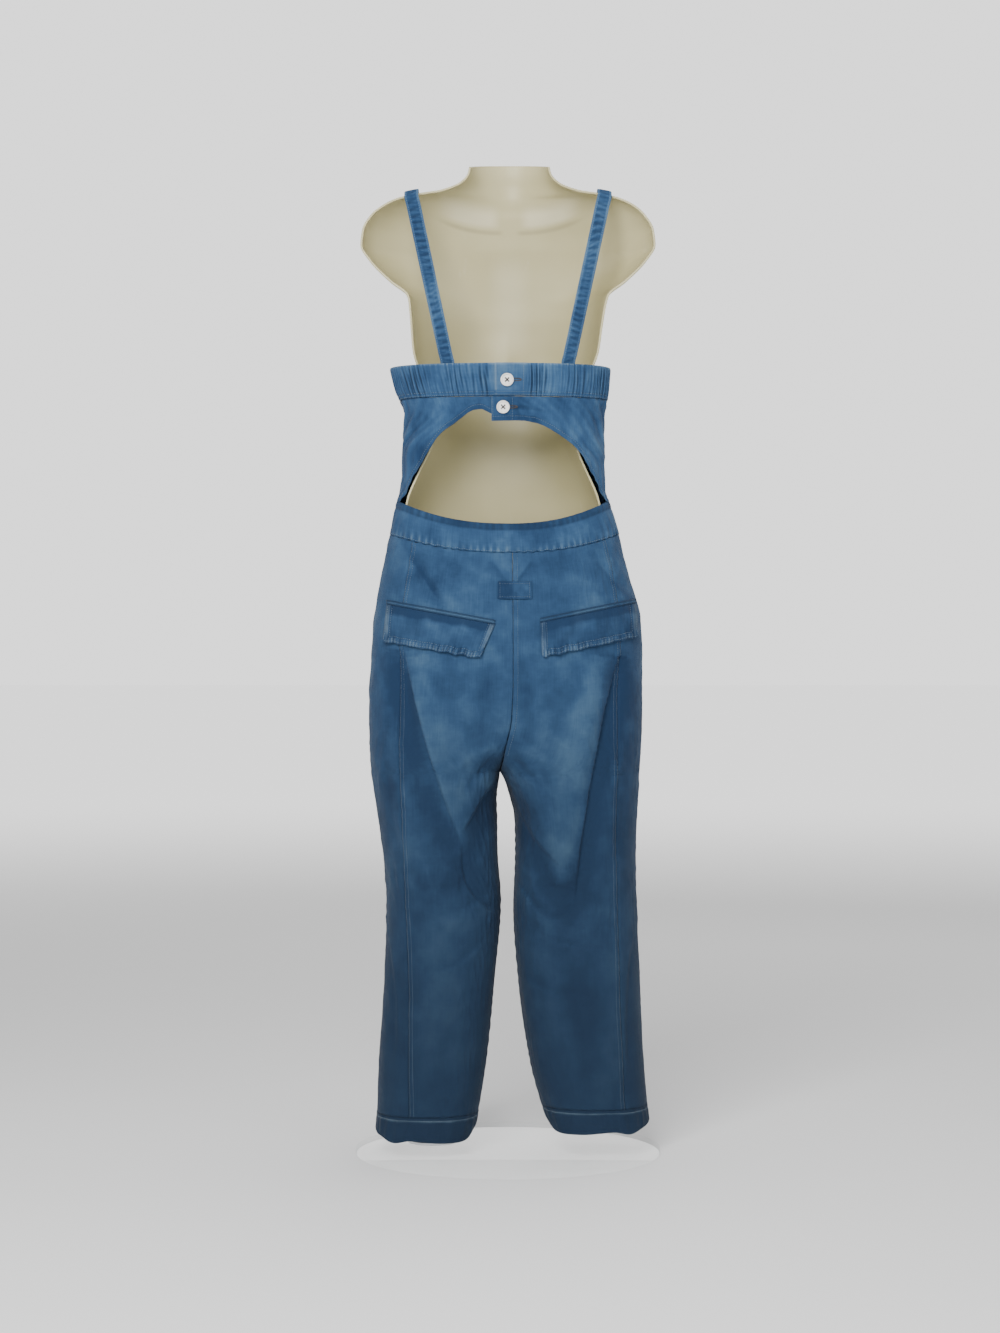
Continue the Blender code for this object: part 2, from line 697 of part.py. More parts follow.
def make_tab(points):
    """The short loop sewn across the centre back seam."""
    corners = [
        (TAB["left"], TAB["high"]),
        (TAB["right"], TAB["high"]),
        (TAB["right"], TAB["low"]),
        (TAB["left"], TAB["low"]),
    ]
    return piece_on_seat("back_tab", points, corners, FLAP_CLOTH, FLAP_LIFT, DENIM)


def turned(name, profile, material, segments, place):
    """A solid of revolution about an upright axis through place. The profile runs from axis to axis."""
    builder = bmesh.new()
    verts = [builder.verts.new((radius, 0.0, height)) for radius, height in profile]
    edges = [builder.edges.new(pair) for pair in zip(verts, verts[1:])]
    bmesh.ops.spin(
        builder,
        geom=verts + edges,
        axis=(0, 0, 1),
        cent=(0, 0, 0),
        angle=2 * math.pi,
        steps=segments,
        use_merge=True,
    )
    bmesh.ops.remove_doubles(builder, verts=builder.verts, dist=1e-6)
    made = add_object(name, finished_mesh(name, builder), material)
    made.location = place
    return made


BUTTON_PLACES = {
    "button_band": (-0.0014, 1.0600, BAND_CLOTH),
    "button_panel": (-0.0067, 1.0235, CLOTH),
}
BUTTON_SEGMENTS = 20


def make_button(name):
    """A turned button with a raised rim, flat against the placket."""
    x, z, thickness = BUTTON_PLACES[name]
    angle = angle_at("right", x, z)
    surface = body_point("right", angle, z, lap_offset("right", x, thickness) + LIFT)
    low, radius = 0.0, BUTTON_RADIUS
    profile = [
        (0.0, low),
        (radius * 0.86, low),
        (radius, BUTTON_THICKNESS * 0.4),
        (radius * 0.96, BUTTON_THICKNESS * 0.9),
        (radius * 0.88, BUTTON_THICKNESS),
        (radius - BUTTON_RIM, BUTTON_THICKNESS * 0.92),
        (radius - BUTTON_RIM * 1.6, BUTTON_THICKNESS - BUTTON_DISH),
        (0.0, BUTTON_THICKNESS - BUTTON_DISH),
    ]
    made = turned(name, profile, BUTTON, BUTTON_SEGMENTS, surface)
    ahead = body_point("right", angle, z + 0.005) - body_point("right", angle, z - 0.005)
    beside = body_point("right", angle + 0.02, z) - body_point("right", angle - 0.02, z)
    outward = Vector(np.cross(beside, ahead)).normalized()
    made.rotation_mode = "QUATERNION"
    made.rotation_quaternion = outward.to_track_quat("Z", "Y")
    return made


# The torso form, an open shell seen from behind: half width, middle, rim place, depth in front of the rim,
# and the extra depth of the neck
FORM = Table(
    "z half mid rim depth neck",
    [
        (0.600, 0.158, -0.004, -0.015, 0.120, 0.0),
        (0.640, 0.165, -0.004, -0.015, 0.126, 0.0),
        (0.700, 0.169, -0.004, -0.015, 0.130, 0.0),
        (0.760, 0.164, -0.005, -0.015, 0.128, 0.0),
        (0.820, 0.149, -0.005, -0.015, 0.122, 0.0),
        (0.870, 0.1380, -0.006, -0.015, 0.117, 0.0),
        (0.900, 0.1325, -0.007, -0.015, 0.114, 0.0),
        (0.940, 0.1158, -0.007, -0.015, 0.110, 0.0),
        (0.965, 0.1042, -0.006, -0.015, 0.109, 0.0),
        (0.985, 0.0985, -0.005, -0.015, 0.109, 0.0),
        (1.020, 0.0995, -0.004, -0.015, 0.113, 0.0),
        (1.060, 0.1120, -0.004, -0.015, 0.120, 0.0),
        (1.102, 0.1280, -0.003, -0.015, 0.126, 0.0),
        (1.135, 0.1320, -0.002, -0.014, 0.126, 0.0),
        (1.160, 0.1350, -0.001, -0.013, 0.122, 0.0),
        (1.180, 0.1390, 0.0, -0.012, 0.118, 0.0),
        (1.200, 0.1630, 0.0, -0.011, 0.112, 0.0),
        (1.2285, 0.1910, 0.0, -0.009, 0.102, 0.0),
        (1.2506, 0.2035, 0.0, -0.007, 0.092, 0.0),
        (1.273, 0.2010, 0.0, -0.005, 0.080, 0.004),
        (1.295, 0.1880, 0.0, -0.003, 0.064, 0.012),
        (1.308, 0.1720, 0.001, -0.002, 0.053, 0.020),
        (1.317, 0.1530, 0.001, -0.001, 0.044, 0.026),
        (1.3235, 0.1250, 0.002, 0.0, 0.038, 0.030),
        (1.328, 0.0960, 0.002, 0.0, 0.036, 0.032),
        (1.339, 0.0680, 0.002, 0.0, 0.046, 0.022),
        (1.350, 0.0580, 0.002, 0.0, 0.056, 0.010),
        (1.360, 0.0555, 0.002, 0.0, 0.062, 0.004),
    ],
)
FORM_HEIGHTS = (
    0.600, PLATE_Z, PLATE_Z + PLATE_THICKNESS, 0.720, 0.800, 0.870, 0.930, 0.985,
    1.030, 1.065, 1.100, 1.135, 1.165, 1.186, 1.206, 1.2285, 1.2506, 1.273,
    1.295, 1.309, 1.319, 1.328, 1.338, 1.360,
)
# The shell is one moulding, kept as three nodes so that its collision pieces follow the hollow
FORM_PIECES = (
    ("form_lower", 0.600, 1.030),
    ("form_middle", 1.030, 1.165),
    ("form_upper", 1.165, 1.360),
)
FORM_SEGMENTS = 18
NECK_SPREAD = 0.062
NECK_LOW = 1.330
NECK_SLOPE = 0.16


def form_point(angle, z, inside=0.0):
    """A point of the form's outer face, or inside metres within it, from the left rim to the right."""
    half = FORM.at("half", z) - inside
    depth = FORM.at("depth", z) - inside
    cosine, sine = math.cos(angle), max(math.sin(angle), 0.0)
    across = -math.copysign(abs(cosine) ** (2 / FORM_SQUARENESS), cosine) * half
    ahead = sine ** (2 / FORM_SQUARENESS)
    neck = FORM.at("neck", z) * math.exp(-((across / NECK_SPREAD) ** 2))
    y = FORM.at("rim", z) + depth * ahead + neck * ahead + bust_offset(across, z) * ahead
    z += NECK_SLOPE * y * smooth_step(NECK_LOW, FORM_HEIGHTS[-1], z)
    return np.array((FORM.at("mid", z) + across, y, z))


def make_form():
    """The shell: a front half torso with shoulder caps and a short open neck. Gives a tree of its faces."""
    angles = np.linspace(0, math.pi, FORM_SEGMENTS + 1)
    points = np.array([[form_point(a, z) for a in angles] for z in FORM_HEIGHTS])
    normals = unit(np.cross(np.gradient(points, axis=0), np.gradient(points, axis=1)))
    for name, low, high in FORM_PIECES:
        cut = slice(FORM_HEIGHTS.index(low), FORM_HEIGHTS.index(high) + 1)
        outer = points[cut].copy()
        outer[0, :, 2] += SEAM
        outer[-1, :, 2] -= SEAM
        wall(name, outer, outer - normals[cut] * SHELL, PLASTIC)
    whole = wall_body(points, points - normals * SHELL)
    bmesh.ops.recalc_face_normals(whole, faces=whole.faces)
    return BVHTree.FromBMesh(whole)


def make_plate():
    """The flat plate across the form at the hips, which carries it on the pole."""
    angles = np.linspace(0, math.pi, FORM_SEGMENTS + 1)[1:-1]
    builder = bmesh.new()
    rings = []
    for z in (PLATE_Z, PLATE_Z + PLATE_THICKNESS):
        outline = [form_point(angle, z, SHELL + PLATE_CLEARANCE) for angle in angles]
        rings.append([builder.verts.new(point) for point in outline])
        builder.faces.new(rings[-1])
    low, high = rings
    for j in range(len(low)):
        k = (j + 1) % len(low)
        builder.faces.new((low[j], low[k], high[k], high[j]))
    return add_object("form_plate", finished_mesh("form_plate", builder), PLASTIC, smooth=False)


def make_stand():
    """Round glass base, steel socket, and the pole that runs up inside the left leg to the plate."""
    foot = BASE_THICKNESS + SOCKET_CLEARANCE
    bore = POLE_RADIUS + SOCKET_CLEARANCE
    top = PLATE_Z - SOCKET_CLEARANCE
    edge, half = BASE_EDGE, BASE_THICKNESS / 2
    base = [
        (0.0, 0.0),
        (BASE_RADIUS - edge, 0.0),
        (BASE_RADIUS, edge),
        (BASE_RADIUS, half * 2 - edge),
        (BASE_RADIUS - edge, BASE_THICKNESS),
        (0.0, BASE_THICKNESS),
    ]
    turned("stand_base", base, GLASS, 48, (0, 0, 0))
    pole = [
        (0.0, foot),
        (POLE_RADIUS, foot),
        (POLE_RADIUS, top - FLANGE_THICKNESS),
        (FLANGE_RADIUS, top - FLANGE_THICKNESS),
        (FLANGE_RADIUS, top),
        (0.0, top),
    ]
    turned("stand_pole", pole, STEEL, 20, (POLE_X, POLE_Y, 0))
    socket = [
        (bore, foot),
        (SOCKET_FOOT_RADIUS, foot),
        (SOCKET_FOOT_RADIUS, foot + SOCKET_FOOT_HEIGHT),
        (SOCKET_RADIUS, foot + SOCKET_FOOT_HEIGHT + 0.002),
        (SOCKET_RADIUS * 0.86, foot + SOCKET_HEIGHT),
        (bore, foot + SOCKET_HEIGHT),
        (bore, foot),
    ]
    turned("stand_socket", socket, STEEL, 20, (POLE_X, POLE_Y, 0))


# The strap's way over the shoulder, as y and z above the form's shoulder ridge, and the way it faces
SHOULDER_RIDGE = Table(
    "y z face_y face_z",
    [
        (-0.010, 1.3190, -0.90, 0.45),
        (-0.002, 1.3262, -0.45, 0.90),
        (0.010, 1.3275, 0.10, 1.00),
        (0.022, 1.3245, 0.45, 0.90),
    ],
)
SHOULDER_SLOPE = 0.19
STRAP_STEPS = 38
STRAP_ACROSS = (-0.5, 0.0, 0.5)
STRAP_SPAN = (0.06, 0.35, 0.65, 0.94)
STRAP_LIFT = 0.0013
STRAP_FRONT_ROOM = 0.0016
CHEST_TOP = 1.306
CHEST_ROWS = 12


def tucked_row(side, middle_x, z, front):
    """Three points across a strap end, behind the top band, and the way the strap faces at each."""
    depth = BAND_CLOTH + STRAP_CLOTH / 2 + (STRAP_FRONT_ROOM if front else LIFT + GATHER_DEPTH)
    row = []
    for share in STRAP_ACROSS:
        angle = angle_at(side, middle_x + share * STRAP_WIDTH, z)
        angle = 2 * math.pi - angle if front else angle
        row.append((body_point(side, angle, z, -depth), body_normal(side, angle, z)))
    return row


def ridge_row(side, y):
    """Three points across the strap on the shoulder."""
    up, back = SHOULDER_RIDGE.at("face_z", y), SHOULDER_RIDGE.at("face_y", y)
    row = []
    for share in STRAP_ACROSS:
        x = SIGN[side] * STRAP_SHOULDER_X + share * STRAP_WIDTH
        drop = SHOULDER_SLOPE * (abs(x) - STRAP_SHOULDER_X)
        place = np.array((x, y, SHOULDER_RIDGE.at("z", y) - drop))
        row.append((place, np.array((SIGN[side] * SHOULDER_SLOPE * up, back, up))))
    return row


def chest_row(middle_x, z, form_tree):
    """Three points across the strap where it lies on the form's chest."""
    row = []
    for share in STRAP_ACROSS:
        start = Vector((middle_x + share * STRAP_WIDTH, 1.0, z))
        hit, normal, _, _ = form_tree.ray_cast(start, Vector((0, -1, 0)))
        row.append((np.array(hit + normal * (STRAP_CLOTH / 2 + STRAP_LIFT)), np.array(normal)))
    return row


def strap_rows(side, form_tree):
    """Rows of points across one strap, from its back end over the shoulder to its front end."""
    sign = SIGN[side]
    back_x, shoulder_x, front_x = (sign * x for x in (STRAP_BACK_X, STRAP_SHOULDER_X, STRAP_FRONT_X))
    front_top = BAND_TOP + FRONT_RISE.at("rise", BAND_TOP) * 0.7
    rows = [tucked_row(side, back_x, BAND_TOP - STRAP_TUCK * share, False) for share in (1.0, 0.5, 0.0)]
    ridge = [ridge_row(side, y) for y in SHOULDER_RIDGE.places]
    for share in STRAP_SPAN:
        pairs = zip(rows[2], ridge[0])
        rows.append([(b[0] + (r[0] - b[0]) * share, b[1] + (r[1] - b[1]) * share) for b, r in pairs])
    rows += ridge
    for share in np.linspace(0, 1, CHEST_ROWS):
        z = CHEST_TOP + (front_top + 0.006 - CHEST_TOP) * share
        rows.append(chest_row(shoulder_x + (front_x - shoulder_x) * share, z, form_tree))
    rows += [tucked_row(side, front_x, BAND_TOP - STRAP_TUCK * share, True) for share in (0.2, 1.0)]
    return rows


def make_strap(side, form_tree):
    """A flat strap, three points wide, on a smooth curve through its rows."""
    rows = strap_rows(side, form_tree)
    middles = np.array([row[1][0] for row in rows])
    lengths = np.concatenate([[0], np.cumsum(np.linalg.norm(np.diff(middles, axis=0), axis=1))])
    outer, inner = [], []
    lines = [
        Table("s x y z face_x face_y face_z", [(s, *row[i][0], *row[i][1]) for s, row in zip(lengths, rows)])
        for i in range(len(STRAP_ACROSS))
    ]
    for s in np.linspace(0, lengths[-1], STRAP_STEPS):
        places = np.array([[line.at(name, s) for name in ("x", "y", "z")] for line in lines])
        faces = unit(np.array([[line.at(f"face_{name}", s) for name in "xyz"] for line in lines]))
        low, high = places - faces * STRAP_CLOTH / 2, places + faces * STRAP_CLOTH / 2
        for i, point in enumerate(low):
            near, normal, _, _ = form_tree.find_nearest(Vector(point))
            height = (Vector(point) - near).dot(normal)
            if abs(height) < STRAP_CLOTH * 3 and height < STRAP_LIFT:
                low[i] += np.array(normal) * (STRAP_LIFT - height)
                high[i] += np.array(normal) * (STRAP_LIFT - height)
        outer.append(high)
        inner.append(low)
    return wall(f"strap_{side}", outer, inner, DENIM_TRIM)


def main():
    points, normals = trouser_grids()
    make_legs(points, normals)
    make_flaps(points)
    make_tab(points)
    make_waistband()
    make_front_bodice()
    form_tree = make_form()
    make_plate()
    make_stand()
    for side in HALVES:
        make_hem(side)
        make_back_panel(side)
        make_back_band(side)
        make_strap(side, form_tree)
    for name in BUTTON_PLACES:
        make_button(name)


main()
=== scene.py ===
import math

import bmesh
import bpy
import numpy as np
from mathutils import Matrix, Vector
from mathutils.bvhtree import BVHTree


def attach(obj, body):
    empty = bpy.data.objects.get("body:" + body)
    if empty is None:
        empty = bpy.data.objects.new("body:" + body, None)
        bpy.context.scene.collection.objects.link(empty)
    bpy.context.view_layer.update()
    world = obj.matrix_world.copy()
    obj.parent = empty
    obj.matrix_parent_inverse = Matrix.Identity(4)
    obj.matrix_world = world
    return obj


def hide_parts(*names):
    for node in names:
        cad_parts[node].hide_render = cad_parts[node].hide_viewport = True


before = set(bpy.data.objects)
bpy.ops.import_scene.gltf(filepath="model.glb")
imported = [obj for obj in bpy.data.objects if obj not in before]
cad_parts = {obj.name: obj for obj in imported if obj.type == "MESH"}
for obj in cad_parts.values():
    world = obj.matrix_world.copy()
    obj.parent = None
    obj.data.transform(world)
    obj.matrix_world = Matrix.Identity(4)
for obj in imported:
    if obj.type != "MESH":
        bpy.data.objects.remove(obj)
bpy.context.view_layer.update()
print("frame loaded")

# The garment's back faces -Y and the wearer's right is +X. All sizes are in metres, as in the frame.
cloth = {
    "wall": 0.0015,
    "bandWall": 0.0020,
    "seam": 0.00008,
    "lift": 0.0004,
    "squareness": 2.3,
    "turnGap": 0.0015,  # in radians, at the ends of a piece
}
levels = {
    "hemBottomLeft": 0.022,
    "hemBottomRight": 0.034,
    "hemTopLeft": 0.056,
    "hemTopRight": 0.066,
    "crotch": 0.5247,
    "waistbandBottom": 0.852,
    "waistbandTop": 0.899,
    "bandBottom": 1.038,
    "bandTop": 1.083,
}
signOf = {"left": -1.0, "right": 1.0}


# A few named columns of sizes, read on a smooth curve through the rows
class SizeTable:
    def __init__(self, columns, rows):
        rows = np.array(rows, float)
        self.places = rows[:, 0]
        self.values = dict(zip(columns.split()[1:], rows.T[1:]))
        self.slopes = {}
        for name, values in self.values.items():
            steps = np.diff(values) / np.diff(self.places)
            total = steps[1:] + steps[:-1]
            level = np.where(total == 0, 1, total)
            inner = np.where(steps[1:] * steps[:-1] > 0, 2 * steps[1:] * steps[:-1] / level, 0)
            self.slopes[name] = np.concatenate([steps[:1], inner, steps[-1:]])

    def at(self, name, place):
        place = np.asarray(place, float)
        values, slopes = self.values[name], self.slopes[name]
        i = np.clip(np.searchsorted(self.places, place) - 1, 0, len(self.places) - 2)
        span = self.places[i + 1] - self.places[i]
        t = np.clip((place - self.places[i]) / span, 0, 1)
        rise = (t**3 - 2 * t**2 + t) * slopes[i] * span + (t**3 - t**2) * slopes[i + 1] * span
        return values[i] * (2 * t**3 - 3 * t**2 + 1) + values[i + 1] * (3 * t**2 - 2 * t**3) + rise


def smoothStep(low, high, value):
    t = np.clip((value - low) / (high - low), 0, 1)
    return t * t * (3 - 2 * t)


def bell(value, width):
    return np.exp(-((value / width) ** 2))


def lengthsAlong(points):
    return np.concatenate([[0], np.cumsum(np.linalg.norm(np.diff(points, axis=0), axis=1))])


def unit(vectors):
    return vectors / np.maximum(np.linalg.norm(vectors, axis=-1, keepdims=True), 1e-12)


# The garment from hem to top band: z, then the side edge, the middle of the ring and the seam between
# back and side panels, of the left and of the right half, then the depth place and the two half depths
halfRows = [
    (0.022, -0.1825, -0.1150, -0.1340, 0.1945, 0.1250, 0.1600, 0.012, 0.070, 0.066),
    (0.047, -0.1815, -0.1120, -0.1340, 0.1940, 0.1230, 0.1600, 0.012, 0.071, 0.067),
    (0.127, -0.1785, -0.1040, -0.1360, 0.1875, 0.1090, 0.1560, 0.012, 0.073, 0.069),
    (0.238, -0.1715, -0.0950, -0.1370, 0.1825, 0.0985, 0.1500, 0.012, 0.079, 0.072),
    (0.348, -0.1680, -0.0888, -0.1400, 0.1780, 0.0930, 0.1490, 0.013, 0.085, 0.076),
    (0.403, -0.1720, -0.0928, -0.1420, 0.1768, 0.0935, 0.1480, 0.014, 0.094, 0.080),
    (0.4585, -0.1794, -0.0970, -0.1440, 0.1785, 0.0940, 0.1480, 0.015, 0.102, 0.084),
    (0.500, -0.1855, -0.1000, -0.1460, 0.1810, 0.0905, 0.1490, 0.016, 0.108, 0.088),
    (0.5247, -0.1890, -0.1000, -0.1470, 0.1820, 0.0855, 0.1500, 0.017, 0.111, 0.091),
    (0.569, -0.1920, -0.0700, -0.1490, 0.1850, 0.0620, 0.1510, 0.019, 0.116, 0.098),
    (0.624, -0.1930, -0.0280, -0.1500, 0.1863, 0.0300, 0.1520, 0.021, 0.121, 0.104),
    (0.679, -0.1900, 0.0030, -0.1490, 0.1863, 0.0090, 0.1530, 0.021, 0.122, 0.107),
    (0.7345, -0.1860, 0.0070, -0.1460, 0.1840, 0.0070, 0.1520, 0.022, 0.118, 0.102),
    (0.790, -0.1770, 0.0070, -0.1390, 0.1700, 0.0070, 0.1460, 0.024, 0.108, 0.096),
    (0.828, -0.1690, 0.0065, -0.1340, 0.1590, 0.0065, 0.1380, 0.025, 0.101, 0.090),
    (0.852, -0.1640, 0.0060, -0.1310, 0.1540, 0.0060, 0.1330, 0.025, 0.098, 0.0875),
    (0.878, -0.1590, 0.0040, -0.1280, 0.1470, 0.0040, 0.1280, 0.025, 0.096, 0.0855),
    (0.899, -0.1535, 0.0010, -0.1250, 0.1395, 0.0010, 0.1250, 0.025, 0.092, 0.0840),
    (0.919, -0.1480, -0.0020, -0.1200, 0.1345, -0.0020, 0.1200, 0.025, 0.088, 0.0820),
    (0.969, -0.1465, -0.0035, -0.1200, 0.1340, -0.0035, 0.1200, 0.026, 0.086, 0.0800),
    (1.019, -0.1440, -0.0040, -0.1200, 0.1335, -0.0040, 0.1200, 0.028, 0.088, 0.0820),
    (1.038, -0.1500, -0.0040, -0.1200, 0.1380, -0.0040, 0.1200, 0.029, 0.092, 0.0835),
    (1.052, -0.1560, -0.0040, -0.1200, 0.1400, -0.0040, 0.1200, 0.030, 0.096, 0.0850),
    (1.083, -0.1640, -0.0040, -0.1200, 0.1425, -0.0040, 0.1200, 0.030, 0.100, 0.0870),
]
halves = {}
for side, first in (("left", 1), ("right", 4)):
    rows = [(row[0], *row[first : first + 3], *row[7:]) for row in halfRows]
    rows[0] = (levels[f"hemBottom{side.capitalize()}"], *rows[0][1:])
    halves[side] = SizeTable("z out mid seam y back front", rows)
centreSeam = SizeTable(
    "z x",
    [(0.5247, -0.0110), (0.560, -0.0030), (0.600, 0.0050), (0.660, 0.0070), (0.852, 0.0060)],
)
inseamSquareness = SizeTable(
    "z n", [(0.300, 2.3), (0.420, 2.5), (0.5247, 3.0), (0.600, 2.9), (0.680, 2.3)]
)
backDip = SizeTable(
    "z dip",
    [(0.680, 0.0), (0.790, 0.014), (0.852, 0.027), (0.899, 0.034), (0.940, 0.010), (0.980, 0.0)],
)
frontRise = SizeTable("z rise", [(0.950, 0.0), (1.038, 0.018), (1.083, 0.028)])
archEdge = {
    "left": SizeTable(
        "x z",
        [
            (-0.1470, levels["waistbandTop"]),
            (-0.1444, 0.9055),
            (-0.1369, 0.9265),
            (-0.1257, 0.9463),
            (-0.1088, 0.9707),
            (-0.0922, 0.9917),
            (-0.0769, 1.0019),
            (-0.0632, 1.0119),
            (-0.0493, 1.0193),
            (-0.0388, 1.0208),
            (-0.0232, 1.0145),
            (0.0110, 1.0080),
        ],
    ),
    "right": SizeTable(
        "x z",
        [
            (-0.0240, 1.0045),
            (0.0150, 1.0050),
            (0.0360, 1.0032),
            (0.0473, 0.9993),
            (0.0621, 0.9923),
            (0.0790, 0.9817),
            (0.0941, 0.9720),
            (0.1036, 0.9616),
            (0.1129, 0.9464),
            (0.1283, 0.9205),
            (0.1345, levels["waistbandTop"]),
        ],
    ),
}
bust = {"x": 0.066, "z": 1.085, "width": 0.050, "height": 0.052, "depth": 0.018}

# Folds and creases as curves in the picture plane: start, bend, end, half width, and how far out or in
backFolds = [
    (-0.154, 0.700, -0.130, 0.520, -0.041, 0.345, 0.017, -0.0085),
    (-0.128, 0.690, -0.104, 0.520, -0.060, 0.395, 0.021, 0.0065),
    (-0.018, 0.505, -0.035, 0.450, -0.064, 0.390, 0.015, -0.0050),
    (-0.120, 0.340, -0.150, 0.220, -0.152, 0.080, 0.019, -0.0035),
    (-0.085, 0.330, -0.095, 0.200, -0.080, 0.080, 0.024, 0.0030),
    (0.152, 0.690, 0.118, 0.500, 0.075, 0.290, 0.017, -0.0085),
    (0.126, 0.690, 0.098, 0.530, 0.068, 0.370, 0.022, 0.0065),
    (0.002, 0.512, 0.028, 0.430, 0.072, 0.345, 0.015, -0.0050),
    (0.090, 0.290, 0.098, 0.200, 0.112, 0.110, 0.019, -0.0035),
    (0.140, 0.320, 0.150, 0.200, 0.160, 0.090, 0.022, 0.0030),
]
backCreases = [
    (-0.012, 0.800, -0.004, 0.792, 0.004, 0.776, 0.0040, -0.0016),
    (-0.022, 0.812, -0.010, 0.798, 0.000, 0.780, 0.0055, 0.0012),
    (0.028, 0.800, 0.018, 0.792, 0.010, 0.776, 0.0040, -0.0016),
    (0.040, 0.812, 0.026, 0.798, 0.014, 0.780, 0.0055, 0.0012),
    (-0.130, 0.821, -0.112, 0.790, -0.088, 0.755, 0.0100, -0.0030),
    (-0.112, 0.822, -0.094, 0.790, -0.070, 0.752, 0.0090, 0.0018),
    (0.150, 0.800, 0.160, 0.786, 0.172, 0.770, 0.0060, -0.0022),
    (0.020, 0.690, 0.030, 0.620, 0.026, 0.560, 0.0100, -0.0022),
    (-0.022, 0.680, -0.036, 0.620, -0.036, 0.560, 0.0110, -0.0020),
    (0.000, 0.548, 0.022, 0.535, 0.050, 0.505, 0.0060, -0.0022),
    (-0.014, 0.548, -0.036, 0.532, -0.062, 0.500, 0.0060, -0.0022),
    (0.006, 0.560, 0.034, 0.556, 0.066, 0.534, 0.0070, 0.0014),
    (-0.014, 0.562, -0.042, 0.556, -0.076, 0.530, 0.0070, 0.0014),
    (-0.132, 0.600, -0.118, 0.520, -0.096, 0.450, 0.0090, 0.0026),
    (0.140, 0.590, 0.120, 0.500, 0.100, 0.420, 0.0090, 0.0024),
    (0.160, 0.560, 0.156, 0.470, 0.146, 0.400, 0.0080, -0.0018),
    (-0.164, 0.560, -0.162, 0.480, -0.150, 0.400, 0.0080, -0.0018),
    (-0.036, 0.395, -0.062, 0.370, -0.098, 0.366, 0.0100, -0.0024),
    (-0.046, 0.330, -0.080, 0.318, -0.116, 0.338, 0.0110, 0.0018),
    (0.036, 0.380, 0.064, 0.352, 0.104, 0.352, 0.0100, -0.0024),
    (0.046, 0.310, 0.080, 0.300, 0.120, 0.322, 0.0110, 0.0018),
    (-0.160, 0.260, -0.140, 0.220, -0.104, 0.196, 0.0120, -0.0016),
    (0.074, 0.240, 0.100, 0.208, 0.140, 0.196, 0.0120, -0.0016),
    (-0.070, 0.200, -0.092, 0.150, -0.086, 0.090, 0.0120, -0.0018),
    (-0.160, 0.150, -0.148, 0.110, -0.150, 0.066, 0.0110, 0.0016),
    (0.088, 0.180, 0.084, 0.130, 0.092, 0.080, 0.0110, 0.0018),
    (0.166, 0.170, 0.158, 0.120, 0.164, 0.072, 0.0110, -0.0018),
    (-0.110, 0.670, -0.100, 0.640, -0.076, 0.620, 0.0120, -0.0018),
    (0.080, 0.660, 0.104, 0.640, 0.124, 0.606, 0.0120, -0.0016),
]
# Folds with one crisp side: as above, then the reach and depth of the shade and its side on the way along
sharpFolds = [
    (-0.143, 0.700, -0.108, 0.530, -0.058, 0.420, 0.032, 0.0042, -1),
    (-0.013, 0.524, -0.036, 0.480, -0.064, 0.446, 0.016, 0.0036, 1),
    (-0.061, 0.436, -0.064, 0.350, -0.008, 0.332, 0.020, 0.0034, 1),
    (0.156, 0.700, 0.104, 0.519, 0.090, 0.345, 0.032, 0.0042, 1),
    (0.000, 0.515, 0.012, 0.435, 0.084, 0.395, 0.022, 0.0022, -1),
    (0.008, 0.384, 0.060, 0.290, 0.094, 0.352, 0.016, 0.0030, 1),
    (-0.137, 0.842, -0.116, 0.806, -0.095, 0.770, 0.010, 0.0034, 1),
    (-0.024, 0.835, -0.012, 0.820, 0.000, 0.797, 0.008, 0.0022, -1),
    (0.034, 0.836, 0.022, 0.820, 0.011, 0.797, 0.008, 0.0022, 1),
    (0.120, 0.835, 0.140, 0.800, 0.172, 0.775, 0.009, 0.0024, -1),
    (-0.172, 0.330, -0.150, 0.250, -0.156, 0.130, 0.016, 0.0024, -1),
    (0.172, 0.300, 0.152, 0.220, 0.166, 0.110, 0.016, 0.0024, 1),
    (-0.030, 0.300, -0.060, 0.262, -0.110, 0.250, 0.014, 0.0020, -1),
    (0.020, 0.250, 0.060, 0.215, 0.110, 0.222, 0.014, 0.0020, 1),
]
frontFolds = [
    (-0.150, 0.640, -0.110, 0.520, -0.050, 0.400, 0.020, -0.0060),
    (-0.025, 0.500, -0.060, 0.430, -0.090, 0.340, 0.018, -0.0045),
    (-0.090, 0.300, -0.100, 0.200, -0.110, 0.090, 0.022, 0.0030),
    (0.150, 0.640, 0.115, 0.510, 0.060, 0.380, 0.020, -0.0060),
    (0.010, 0.500, 0.045, 0.420, 0.080, 0.330, 0.018, -0.0045),
    (0.100, 0.300, 0.110, 0.200, 0.120, 0.090, 0.022, 0.0030),
]
